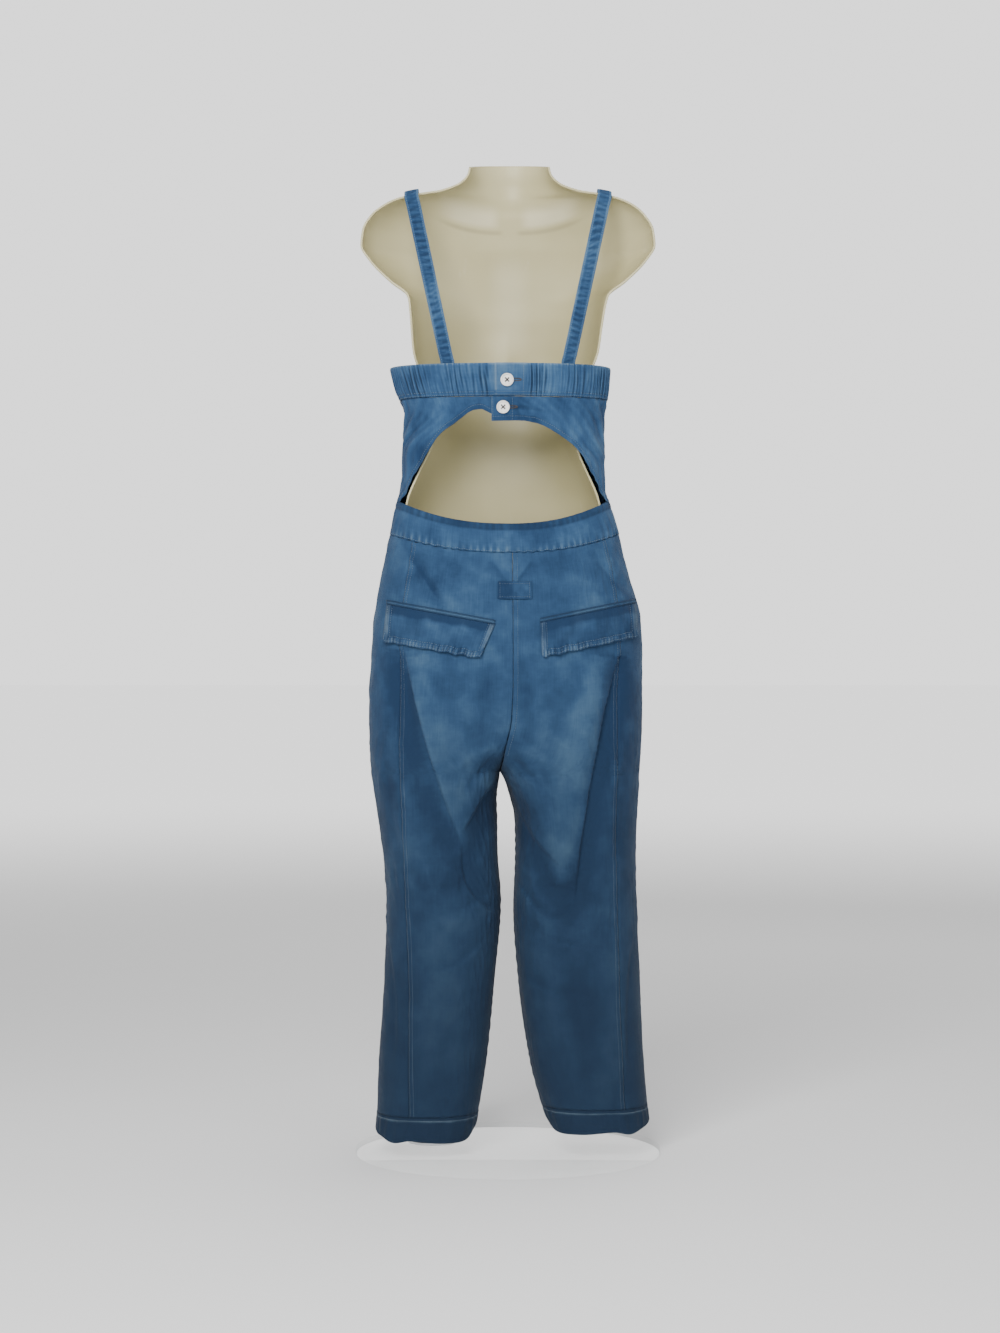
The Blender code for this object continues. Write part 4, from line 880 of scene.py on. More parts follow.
def legSkins(side):
    z = legHeights(side)
    sign = signOf[side]
    above = z > levels["crotch"]
    start = np.where(above, angleAt(side, centreSeam.at("x", z), z), 0.0)
    seam = angleAt(side, halves[side].at("seam", z), z)
    seed = 1.0 if side == "left" else 4.0

    def nearCrotch(height):
        return smoothStep(0.0, 0.035, np.abs(height - levels["crotch"]))

    def backRelief(fromStart, fromEnd, along, height):
        centre = felledEdge if side == "right" else plainEdge
        return centre(fromStart, along, seed) * nearCrotch(height) + felledEdge(fromEnd, along, seed + 2)

    def sideRelief(fromStart, fromEnd, along, height):
        return plainEdge(fromStart, along, seed + 2) + plainEdge(fromEnd, along, seed + 5)

    def frontRelief(fromStart, fromEnd, along, height):
        return felledEdge(fromStart, along, seed + 5) + plainEdge(fromEnd, along, seed) * nearCrotch(height)

    def onSide(turn, height, out):
        return bodyPoint(side, turn, height, out)

    back = Skin(onSide, z, start, seam, backRelief)
    flank = Skin(onSide, z, seam, 2 * math.pi - seam, sideRelief)
    front = Skin(onSide, z, 2 * math.pi - seam, 2 * math.pi - start, frontRelief)
    return back, flank, front


def legPiece(name, node, skin, grid, side, seed, edges):
    def wear(across, up):
        width = np.interp(up, np.linspace(0, 1, len(skin.widths)), skin.widths)
        along = up * skin.tall
        near, away = edgeWearAndShade(across * width, along, seed), edgeWearAndShade((1 - across) * width, along, seed + 2)
        return edges[0] * near + edges[1] * away

    def place(across, up):
        width = np.interp(up, np.linspace(0, 1, len(skin.widths)), skin.widths)
        gap = cloth["seam"] / width
        rise = cloth["seam"] / skin.tall
        return skin.at(gap + across * (1 - 2 * gap), rise + up * (1 - 2 * rise))

    finish = {"flip": side == "left", "wall": cloth["wall"], "wear": wear}
    clothPiece(name, node, grid, place, skin.size(), denim, "hung", waistbands, skin.area(), **finish)


legs = {side: legSkins(side) for side in ("left", "right")}
seamShare = {"back": (0.35, 1.0), "side": (0.8, 0.8), "front": (1.0, 0.35)}
for side, skins in legs.items():
    for (kind, edges), skin in zip(seamShare.items(), skins):
        grid = (trousers[f"{kind}Columns"], trousers["rows"])
        name = f"leg{kind.capitalize()}{side.capitalize()}"
        legPiece(name, f"leg_{kind}_{side}", skin, grid, side, 3.0 + len(sheets), edges)
    back, flank, front = skins
    rise = np.linspace(0.002, 0.998, 700)
    width = np.interp(rise, np.linspace(0, 1, len(back.widths)), back.widths)
    addStitches(back, 1 - trousers["stitchIn"] / width, rise, lines=legStitchLines)
    addStitches(back, 1 - 0.0014 / width, rise, lines=legStitchLines)
    width = np.interp(rise, np.linspace(0, 1, len(front.widths)), front.widths)
    addStitches(front, trousers["stitchIn"] / width, rise, lines=legStitchLines)
    upper = np.linspace(0.62, 0.998, 300)
    if side == "right":
        width = np.interp(upper, np.linspace(0, 1, len(back.widths)), back.widths)
        addStitches(back, trousers["stitchIn"] / width, upper, lines=legStitchLines)
print("trousers made")

# Hem bands
hem = {"flare": 0.0010, "proud": 0.0003, "wave": 0.0020, "corner": 0.0100, "waves": 5, "grid": (240, 18)}
for side in ("left", "right"):
    capital = side.capitalize()
    bottom, top = levels[f"hemBottom{capital}"], levels[f"hemTop{capital}"] - 2 * cloth["seam"]

    def hemPoint(turn, height, out, side=side, bottom=bottom, top=top):
        share = (top - height) / (top - bottom)
        point = bodyPoint(side, turn % (2 * math.pi), height, hem["proud"] + hem["flare"] * share + out)
        point[..., 2] += hem["wave"] * share * np.sin(hem["waves"] * turn + 1.3 * np.sin(3 * turn))
        point[..., 2] += hem["corner"] * share**2 * np.abs(np.cos(turn)) ** 8
        return point

    def hemRelief(fromStart, fromEnd, along, height, top=top, bottom=bottom):
        ripple = puckers(fromStart, 0.017, 2.0) * 0.0006
        stitched = -0.0006 * bell(top - height - 0.004, 0.0016)
        edge = -0.0006 * bell(height - bottom, 0.0016)
        return ripple * smoothStep(bottom, bottom + 0.012, height) + stitched + edge

    skin = Skin(hemPoint, np.linspace(bottom, top, 12), 0.0, 2 * math.pi, hemRelief)

    def hemWearAndShade(across, up):
        foot, line = bell(up, 0.06), bell(up - 0.86, 0.05)
        # pale wear at the foot and along the stitching, and a little painted shade at the top, where the hem
        # meets the leg
        return 0.45 * foot + 0.6 * line - 0.15 * bell(1 - up, 0.03)

    hemPiece = clothPiece(
        f"hem{capital}",
        f"hem_{side}",
        hem["grid"],
        skin.at,
        skin.size(),
        darkShadedDenim,
        "hung",
        [f"legBack{capital}"],
        flip=side == "left",
        wear=hemWearAndShade,
    )
    builder = bmesh.new()
    builder.from_mesh(hemPiece.data)
    bmesh.ops.remove_doubles(builder, verts=builder.verts, dist=1e-5)
    builder.to_mesh(hemPiece.data)
    builder.free()
    addWall(hemPiece, cloth["bandWall"])
    rounds = np.linspace(0, 1, 900)
    addStitches(skin, rounds, 1 - 0.0042 / skin.tall)
print("hems made")

# Waistband
waistband = {"grid": (220, 22), "tuck": 0.0003, "puckerPitch": 0.0125, "half": 0.52}
# its pressed-in lower edge goes a little way behind the legs' upper edges, so that the seam stays closed
waistLow, waistHigh = levels["waistbandBottom"] - waistband["tuck"], levels["waistbandTop"] - cloth["seam"]


def waistRelief(fromStart, fromEnd, along, height):
    low = height - levels["waistbandBottom"]
    high = levels["waistbandTop"] - height
    lowPucker = 0.0012 * puckers(fromStart + 0.3 * low, waistband["puckerPitch"], 1.0) * bell(low, 0.013)
    highPucker = 0.0007 * puckers(fromStart, 0.0085, 5.0) * bell(high, 0.010)
    rolled = -0.0014 * bell(low, 0.0016) - 0.0010 * bell(high, 0.0012)
    strip = -0.0009 * bell(high - 0.0095, 0.0013) + 0.0004 * smoothStep(0.0095, 0.0080, high)
    return 0.0004 + lowPucker + highPucker + rolled + strip


def waistWearAndShade(across, up):
    # pale wear near the foot, the puckers lighter on their crests and darker in their troughs as painted
    # highlight and shade, and a painted shadow line at the seam below; a darker top strip with painted shade
    # in the groove beneath it; a pale worn top edge
    ripple = puckers(across * waistband["half"], waistband["puckerPitch"], 1.0)
    foot = (0.20 + 0.34 * ripple) * smoothStep(0.42, 0.05, up) - 0.7 * bell(up, 0.03)
    strip = (-0.42 + 0.20 * ripple) * smoothStep(0.76, 0.82, up) - 0.5 * bell(up - 0.79, 0.02)
    return foot + strip + 0.25 * bell(up - 0.99, 0.02)


def waistToneAndShade(across, up):
    # a darker top strip, and near the foot the puckers lighter on their crests and darker in their troughs:
    # painted highlight and shade
    ripple = puckers(across * waistband["half"], waistband["puckerPitch"], 1.0)
    return -0.55 * smoothStep(0.76, 0.82, up) + 0.35 * ripple * smoothStep(0.5, 0.1, up)


# A skin over the half of the body that begins at a turn
def halfRound(low, high, count, start, relief):
    gap = cloth["turnGap"]
    return Skin(roundPoint, np.linspace(low, high, count), start + gap, start + math.pi - gap, relief)


for face, start in (("back", -math.pi / 2), ("front", math.pi / 2)):
    skin = halfRound(waistLow, waistHigh, 24, start, waistRelief)
    finish = {"wall": cloth["bandWall"], "wear": waistWearAndShade, "dye": waistToneAndShade}
    name, node, grid = f"waistband{face.capitalize()}", f"waistband_{face}", waistband["grid"]
    clothPiece(name, node, grid, skin.at, skin.size(), denim, "stretched", ["formShell"], **finish)
    line = np.linspace(0.002, 0.998, 700)
    addStitches(skin, line, 1 - 0.0092 / skin.tall)
    addStitches(skin, line, 0.0030 / skin.tall)
print("waistband made")

# Front bodice and the front of the top band
bodice = {"columns": 130, "rows": 70, "bandRows": 20, "gatherPitch": 0.014}


def bodiceRelief(fromStart, fromEnd, along, height):
    low = height - levels["waistbandTop"]
    gathers = 0.0009 * puckers(fromStart, bodice["gatherPitch"], 3.0) * bell(low, 0.030)
    return gathers + plainEdge(fromStart, along, 1.0) + plainEdge(fromEnd, along, 2.0)


def bandFrontRelief(fromStart, fromEnd, along, height):
    low, high = height - levels["bandBottom"], levels["bandTop"] - height
    ripple = 0.0004 * puckers(fromStart, 0.012, 4.0) * bell(low, 0.008)
    return ripple - 0.0008 * bell(low, 0.0012) - 0.0008 * bell(high, 0.0012)


def bodiceWearAndShade(across, up):
    # the gathers lighter on their crests and darker in their troughs near the foot, partly wear and partly
    # painted shade, and painted shade along the top and bottom edges where the piece meets its neighbours
    ripple = puckers(across * waistband["half"], bodice["gatherPitch"], 3.0)
    edges = bell(up, 0.02) + bell(1 - up, 0.02)
    return 0.30 * ripple * smoothStep(0.30, 0.0, up) - 0.5 * edges


frontTurn = math.pi / 2
bodiceLow, bodiceHigh = levels["waistbandTop"] + cloth["seam"], levels["bandBottom"] - cloth["seam"]
bodiceSkin = halfRound(bodiceLow, bodiceHigh, 40, frontTurn, bodiceRelief)
bandSkin = halfRound(levels["bandBottom"] + cloth["seam"], levels["bandTop"], 16, frontTurn, bandFrontRelief)
for name, node, skin, rows, wall in (
    ("bodiceFront", "bodice_front", bodiceSkin, bodice["rows"], cloth["wall"]),
    ("bandFront", "band_front", bandSkin, bodice["bandRows"], cloth["bandWall"]),
):
    grid, finish = (bodice["columns"], rows), {"wall": wall, "wear": bodiceWearAndShade}
    clothPiece(name, node, grid, skin.at, skin.size(), denim, "hung", ["formShell"], skin.area(), **finish)
line = np.linspace(0.002, 0.998, 600)
addStitches(bandSkin, line, 1 - 0.005 / bandSkin.tall)
addStitches(bandSkin, line, 0.002 / bandSkin.tall)
addStitches(bodiceSkin, line, 0.003 / bodiceSkin.tall)
print("front bodice made")

# Back opening: the right piece laps over the left one
backOpening = {
    "underEnd": 0.010,
    "bandEdge": -0.018,
    "panelEdge": -0.023,
    "fadeStart": 0.014,
    "fadeEnd": 0.036,
    "flatTo": 0.021,
    "bandWall": 0.0022,
    "panelWall": 0.0016,
}


def lapOut(side, x, wall):
    if side == "left":
        return 0.0 * x
    return (wall + cloth["lift"]) * (1 - smoothStep(backOpening["fadeStart"], backOpening["fadeEnd"], x))


# Turns from an edge near the centre back to the side seam, evenly spaced along the cloth
def evenTurns(side, edge, z, count):
    fine = np.linspace(0, 1, count)
    spread = angleAt(side, edge, z) * (1 - fine) + (math.pi - cloth["turnGap"]) * fine
    lengths = lengthsAlong(bodyPoint(side, spread, z + 0 * spread))
    return fine, np.interp(fine * lengths[-1], lengths, spread), lengths[-1]


panelLook = {"grid": (110, 64), "drag": 0.0013, "buttonX": 0.006, "buttonZ": 1.0235}


class ArchSkin:
    # the piece between the band and the arched edge: up runs from the arch to the band
    def __init__(self, side):
        self.side = side
        edge = backOpening["underEnd"] if side == "left" else backOpening["panelEdge"]
        band = levels["bandBottom"] - cloth["seam"]
        fine, self.turns, self.width = evenTurns(side, edge, band, 200)
        self.fine = fine
        self.band = band
        self.arch = archEdge[side].at("z", bodyPoint(side, self.turns, band + 0 * fine)[:, 0])
        self.arch = np.maximum(self.arch, levels["waistbandTop"] + cloth["seam"])

    def drag(self, s, z):
        slant = s + 0.85 * (z - 1.0) + 0.006 * np.sin(z * 90 + signOf[self.side])
        wide = np.sin(slant * 2 * math.pi / 0.046 + 1.8 * np.sin(s * 36 + z * 25) + 2 * signOf[self.side])
        fine = np.sin(slant * 2 * math.pi / 0.017 + 3 * np.sin(z * 50))
        return wide * (0.55 + 0.45 * np.sin(s * 61 - z * 47)) + 0.35 * fine

    def at(self, across, up, lift=0.0):
        across, up = np.broadcast_arrays(np.asarray(across, float), np.asarray(up, float))
        turn = np.interp(across, self.fine, self.turns)
        low = np.interp(across, self.fine, self.arch)
        z = low + (self.band - low) * up
        x = bodyPoint(self.side, turn, z)[..., 0]
        fromArch, fromBand = (z - low), self.band - z
        s = across * self.width
        out = lapOut(self.side, x, backOpening["panelWall"]) + lift
        out = out + 0.0007 * puckers(s, 0.011, 2.0) * bell(fromArch, 0.012)
        out = out + 0.0006 * puckers(s, 0.013, 6.0) * bell(fromBand, 0.014)
        out = out + 0.0005 * smoothStep(0.0105, 0.0090, fromArch) - 0.0008 * bell(fromBand, 0.0012)
        # drag lines up towards the band, and the pull that radiates from the lower button
        out = out + panelLook["drag"] * self.drag(s, z) * smoothStep(0.015, 0.050, s)
        if self.side == "right":
            dx, dz = x - panelLook["buttonX"], z - panelLook["buttonZ"]
            for turnBy, size in ((-0.20, 0.0026), (-0.55, 0.0020)):
                along = dx * math.cos(turnBy) + dz * math.sin(turnBy)
                aside = -dx * math.sin(turnBy) + dz * math.cos(turnBy)
                reach = smoothStep(0.0, 0.010, along) * smoothStep(0.062, 0.020, along)
                out = out - size * reach * bell(aside, 0.0035)
                out = out + 0.7 * size * reach * bell(aside - 0.007, 0.0040)
        return bodyPoint(self.side, turn, z, out)


for side in ("left", "right"):
    capital = side.capitalize()
    skin = ArchSkin(side)

    def panelWearAndShade(across, up, skin=skin):
        # pale wear on the arch edge and the lap edge, dark along the arch's stitching, and painted shade at
        # the top where the panel meets the band
        low = np.interp(across, skin.fine, skin.arch)
        fromArch = (skin.band - low) * up
        start = across * skin.width
        arch = 0.30 * bell(fromArch, 0.0015) - 0.45 * bell(fromArch - 0.0068, 0.0012)
        lap = bell(start, 0.0018) * 0.5
        return arch + lap - 0.5 * bell(1 - up, 0.02)

    def panelShadeAndTone(across, up, skin=skin):
        # painted shade and highlight following the drag folds, a slight overall darkening, and a painted
        # shadow along the arch's edge
        low = np.interp(across, skin.fine, skin.arch)
        s, fromArch = across * skin.width, (skin.band - low) * up
        folds = (0.34 * skin.drag(s, low + fromArch) - 0.12) * smoothStep(0.012, 0.045, s)
        return folds - 0.35 * smoothStep(0.010, 0.0, fromArch)

    tall = float(levels["bandBottom"] - skin.arch.min())
    area = float(np.trapz(skin.band - skin.arch, skin.fine * skin.width))
    clothPiece(
        f"backPanel{capital}",
        f"back_panel_{side}",
        panelLook["grid"],
        skin.at,
        (skin.width, tall),
        denim,
        "hung",
        [f"backBand{capital}"],
        area,
        flip=side == "left",
        wall=cloth["wall"],
        wear=panelWearAndShade,
        dye=panelShadeAndTone,
    )
    line = np.linspace(0.004, 0.996, 500)
    drop = skin.band - np.interp(line, skin.fine, skin.arch)
    addStitches(skin, line, 0.0062 / drop)
    if side == "right":
        rise = np.linspace(0.02, 0.98, 60)
        addStitches(skin, 0.0022 / skin.width, rise)
        addStitches(skin, 0.0290 / skin.width, rise)
print("back panels made")

bandLook = {"grid": (300, 26), "gather": 0.0028, "deepPitch": 0.0080, "finePitch": 0.0047, "fullness": 1.18}


class GatheredSkin:
    # one half of the elastic band, ruched from its placket to the side seam
    def __init__(self, side):
        self.side = side
        edge = backOpening["underEnd"] if side == "left" else backOpening["bandEdge"]
        self.flat = abs(backOpening["flatTo"] + signOf[side] * -edge) if side == "right" else 0.031
        middle = (levels["bandBottom"] + levels["bandTop"]) / 2
        self.fine, self.turns, self.width = evenTurns(side, edge, middle, 300)
        self.low = levels["bandBottom"] + cloth["seam"]
        self.tall = levels["bandTop"] - self.low

    def gather(self, s, up):
        seed = 1.0 if self.side == "left" else 2.6
        wander = 1.3 * np.sin(s * 55 + seed) + 0.9 * np.sin(s * 131 + 2 * seed)
        wander = wander + 0.5 * np.sin(up * 3 + s * 200)
        deep = 0.5 + 0.5 * np.cos(s * 2 * math.pi / bandLook["deepPitch"] + wander)
        shift = 2 * wander + 1.4 * np.sin(up * 4 + seed)
        fine = 0.5 + 0.5 * np.cos(s * 2 * math.pi / bandLook["finePitch"] + shift)
        uneven = 0.62 + 0.38 * np.sin(s * 83 + seed * 5) * np.sin(s * 29 + seed)
        taper = 0.35 + 0.65 * np.sin(math.pi * np.clip(up, 0.02, 0.98)) ** 0.6
        flat = smoothStep(self.flat, self.flat + 0.010, s) * smoothStep(0.0, 0.004, self.width - s)
        return (0.48 * deep + 0.52 * fine) * uneven * taper * flat

    def at(self, across, up, lift=0.0):
        across, up = np.broadcast_arrays(np.asarray(across, float), np.asarray(up, float))
        turn = np.interp(across, self.fine, self.turns)
        z = self.low + self.tall * up
        x = bodyPoint(self.side, turn, z)[..., 0]
        s = across * self.width
        out = lapOut(self.side, x, backOpening["bandWall"]) + lift - bandLook["gather"] * self.gather(s, up)
        out = out + 0.0006 - 0.0009 * bell(up * self.tall, 0.0012)
        out = out - 0.0009 * bell((1 - up) * self.tall, 0.0014)
        # two rows of stitching press the casing in at its foot
        out = out - 0.0005 * bell(up * self.tall - 0.0060, 0.0012)
        return bodyPoint(self.side, turn, z, out)


for side in ("left", "right"):
    capital = side.capitalize()
    skin = GatheredSkin(side)

    def bandWearAndShade(across, up, skin=skin):
        # pale wear on the ruche's crests and painted shade in its troughs, a pale worn top, painted shade at
        # the foot and in the stitch groove above it, and a pale placket edge
        ruche = 1 - 1.1 * skin.gather(across * skin.width, up)
        top = bell(1 - up, 0.05) * 0.5
        foot = -0.6 * bell(up, 0.03) - 0.4 * bell(up - 0.133, 0.03)
        return 1.4 * ruche - 1.15 + top + foot + 0.35 * bell(across * skin.width, 0.002)

    def bandShadeAndTone(across, up, skin=skin):
        # painted shade in the gathers' troughs and at the foot, where the band meets the panel
        foot = smoothStep(0.16, 0.10, up)
        return 0.22 - 1.15 * skin.gather(across * skin.width, up) - 0.3 * foot

    clothPiece(
        f"backBand{capital}",
        f"back_band_{side}",
        bandLook["grid"],
        skin.at,
        (skin.width, skin.tall),
        paleDenim,
        "gathered",
        [f"backPanel{capital}"],
        flat=(skin.width * bandLook["fullness"], skin.tall),
        flip=side == "left",
        wall=cloth["bandWall"] * 0.6,
        wear=bandWearAndShade,
        dye=bandShadeAndTone,
    )
    line = np.linspace(0.004, 0.996, 700)
    addStitches(skin, line, 0.0060 / skin.tall)
    addStitches(skin, line, 0.0020 / skin.tall)
    if side == "right":
        rise = np.linspace(0.03, 0.97, 60)
        addStitches(skin, 0.0022 / skin.width, rise)
        addStitches(skin, 0.0385 / skin.width, rise)
print("back band made")

# Pocket flaps, their welts and the tab, laid on the seat
seatPieces = {"wall": 0.0018, "lift": 0.0005, "swell": 0.0016, "round": 0.006}
seatPieces.update({"weltTall": 0.0065, "weltFlat": 0.011})
flapStitch = {"outer": 0.0025, "inner": 0.0085, "puckerPitch": 0.0092}


def seatPoint(x, z, out):
    x, z = np.broadcast_arrays(np.asarray(x, float), np.asarray(z, float))
    result = np.zeros((*x.shape, 3))
    onRight = x > centreSeam.at("x", z)
    for side in ("left", "right"):
        nominal = z.copy()
        for _ in range(5):
            turn = angleAt(side, x, nominal)
            nominal = z + backDip.at("dip", nominal) * np.sin(turn) ** 2
        point = bodyPoint(side, turn, nominal, out)
        result = np.where((onRight == (side == "right"))[..., None], point, result)
    return result


class FlapSkin:
    # across runs from the outer end to the inner one, up from the lower edge to the welt
    def __init__(self, topOuter, topInner, lowInner, lowOuter, relief, rounding=0.0):
        self.topOuter, self.topInner = np.array(topOuter), np.array(topInner)
        self.lowOuter, self.lowInner = np.array(lowOuter), np.array(lowInner)
        self.relief, self.rounding = relief, rounding
        self.width = float(np.linalg.norm(self.topOuter - self.topInner))
        self.tall = float(np.linalg.norm(self.topInner - self.lowInner))

    def size(self):
        return self.width, self.tall

    def at(self, across, up, lift=0.0):
        across, up = np.broadcast_arrays(np.asarray(across, float), np.asarray(up, float))
        a, u = across[..., None], up[..., None]
        s, t = across * self.width, up * self.tall
        short = np.maximum(self.rounding - np.minimum(across, 1 - across) * self.width, 0)
        lifted = self.rounding - np.sqrt(np.maximum(self.rounding**2 - short**2, 0))
        if self.rounding:
            lifted = lifted + 0.0012 * puckers(s, 0.024, 5.0)
        low = self.lowOuter * (1 - a) + self.lowInner * a + np.stack([0 * lifted, lifted], axis=-1)
        top = self.topOuter * (1 - a) + self.topInner * a
        flat = low * (1 - u) + top * u
        relief = self.relief(s, self.width - s, t, self.tall - t)
        return seatPoint(flat[..., 0], flat[..., 1], seatPieces["lift"] + seatPieces["wall"] + relief + lift)


def flapRelief(outer, inner, low, top):
    edge = np.minimum(np.minimum(outer, inner), low)
    stitched = -0.0007 * bell(edge - flapStitch["inner"], 0.0013)
    stitched = stitched - 0.0004 * bell(edge - flapStitch["outer"], 0.0010)
    lip = 0.0005 * smoothStep(0.0085, 0.0060, edge) - 0.0009 * bell(edge, 0.0011)
    ripple = 0.0012 * puckers(outer, flapStitch["puckerPitch"], 3.0) * bell(low - 0.005, 0.006)
    swell = seatPieces["swell"] * np.sin(np.clip(top / 0.045, 0, 1) * math.pi * 0.5)
    swell = swell + 0.0016 * smoothStep(0.016, 0.0, low)
    wavy = 0.0010 * np.sin(outer * 2 * math.pi / 0.050 + 1.0) * smoothStep(0.0, 0.03, top)
    return stitched + lip + ripple + swell + wavy


def weltRelief(outer, inner, low, top):
    double = 0.0010 * np.abs(np.sin(np.clip(low / 0.0065, 0, 1) * 2 * math.pi)) ** 0.6
    return double + 0.0003 * puckers(outer, 0.011, 7.0) - 0.0006 * bell(np.minimum(outer, inner), 0.0015)


flapCorners = {
    "left": ((-0.1650, 0.7620), (-0.0175, 0.7340), (-0.0350, 0.6815), (-0.1670, 0.7045)),
    "right": ((0.1740, 0.7640), (0.0430, 0.7365), (0.0450, 0.6830), (0.1745, 0.7110)),
}
for side, (outer, inner, lowInner, lowOuter) in flapCorners.items():
    capital = side.capitalize()
    drop = np.array((0, -seatPieces["weltTall"]))
    gap = np.array((0, -2 * cloth["seam"]))
    weltOuter, weltInner = np.array(outer) + drop, np.array(inner) + drop
    flap = FlapSkin(weltOuter + gap, weltInner + gap, lowInner, lowOuter, flapRelief, seatPieces["round"])
    welt = FlapSkin(outer, inner, weltInner, weltOuter, weltRelief)

    def flapWearAndShade(across, up, skin=flap):
        # pale worn edges with ticks, and painted shade in the groove of the inner stitching
        s, t = across * skin.width, up * skin.tall
        edge = np.minimum(np.minimum(s, skin.width - s), t)
        patchy = 0.7 + 0.3 * np.sin(s * 180) * np.sin(t * 90 + s * 31)
        ticks = np.sin(s * 2 * math.pi / 0.0046 + 2 * np.sin(s * 60))
        ticks = 0.6 + 0.4 * ticks * smoothStep(0.012, 0.006, t)
        worn = 0.58 * smoothStep(0.0100, 0.0060, edge) * patchy * ticks + 0.16 * smoothStep(0.0, 0.02, t)
        return worn - 0.5 * bell(edge - 0.0085, 0.0012)

    def flapDyeAndShade(across, up, skin=flap):
        # a darker unfaded band under the welt, the puckers near the lower edge lighter on their crests and
        # darker in their troughs as painted highlight and shade, a slanting tone and a darker tone overall
        s, t = across * skin.width, up * skin.tall
        fresh = smoothStep(0.015, 0.003, skin.tall - t + 0.0012 * puckers(s, 0.019, 1.0))
        ripple = puckers(s, flapStitch["puckerPitch"], 3.0) * smoothStep(0.014, 0.004, t)
        drag = np.sin((s + 0.9 * t) * 2 * math.pi / 0.047 + 2 * np.sin(s * 41 + t * 60))
        drag = drag * np.sin(t * 70 + s * 37)
        return -1.9 * fresh + 0.7 * ripple + 0.25 * drag - 0.45

    def weltWear(across, up):
        return 0.25 + 0.5 * np.cos(up * 4 * math.pi) - 0.75

    def weltShadeAndTone(across, up):
        # painted shade along the welt's top and bottom edges, where it meets the seat and the flap
        return 0.3 - 2.2 * (bell(up, 0.14) + bell(1 - up, 0.14))

    for kind, skin, rows, rests, flat, wear, dye in (
        ("Flap", flap, 44, [f"legBack{capital}", f"legSide{capital}"], flap.size(), flapWearAndShade, flapDyeAndShade),
        ("Welt", welt, 16, [f"legBack{capital}"], (welt.width, seatPieces["weltFlat"]), weltWear, weltShadeAndTone),
    ):
        name, node = f"pocket{kind}{capital}", f"pocket_{kind.lower()}_{side}"
        finish = {"flip": side == "right", "wall": seatPieces["wall"], "wear": wear, "dye": dye}
        clothPiece(name, node, (120, rows), skin.at, skin.size(), denim, "laid", rests, flat=flat, **finish)
    line = np.linspace(0.004, 0.996, 300)
    for inset in (flapStitch["outer"], flapStitch["inner"]):
        a0, a1 = inset / flap.width, 1 - inset / flap.width
        t0 = inset / flap.tall
        for across, up in (
            (a0 + (a1 - a0) * line, t0 + 0 * line),
            (a0 + 0 * line, t0 + (0.98 - t0) * line),
            (a1 + 0 * line, t0 + (0.98 - t0) * line),
        ):
            stitchLines.append((flap.at(across, up, stitch["lift"]), None))


def tabRelief(outer, inner, low, top):
    edge = np.minimum(low, top)
    ends = np.minimum(outer, inner)
    raised = 0.0012 * smoothStep(0.002, 0.010, ends)
    middle = -0.0007 * bell(outer - 0.021, 0.0015)
    return raised + middle - 0.0008 * bell(edge, 0.0012) - 0.0005 * bell(edge - 0.003, 0.0009)


tabSkin = FlapSkin((-0.0140, 0.7860), (0.0320, 0.7860), (0.0320, 0.7620), (-0.0140, 0.7620), tabRelief)


def tabWear(across, up):
    s = np.minimum(across, 1 - across) * tabSkin.width
    return 0.2 * bell(s, 0.002) + 0.2 * bell(1 - up, 0.06) - 0.15


def tabShadeAndTone(across, up):
    # painted shadow darkens the whole tab; its right half is lighter, with a slight wandering tone
    return -0.9 + 0.5 * smoothStep(0.42, 0.50, across) + 0.1 * np.sin(across * 19 + up * 7)


finish = {"wall": seatPieces["wall"], "wear": tabWear, "dye": tabShadeAndTone}
legBacks = ["legBackLeft", "legBackRight"]
clothPiece("backTab", "back_tab", (60, 34), tabSkin.at, tabSkin.size(), denim, "laid", legBacks, **finish)
line = np.linspace(0.03, 0.97, 60)
level = 0 * line
for across, up in ((line, 0.13 + level), (line, 0.87 + level), (0.07 + level, line), (0.93 + level, line)):
    legStitchLines.append((tabSkin.at(across, up, stitch["lift"]), None))
print("pocket flaps and tab made")

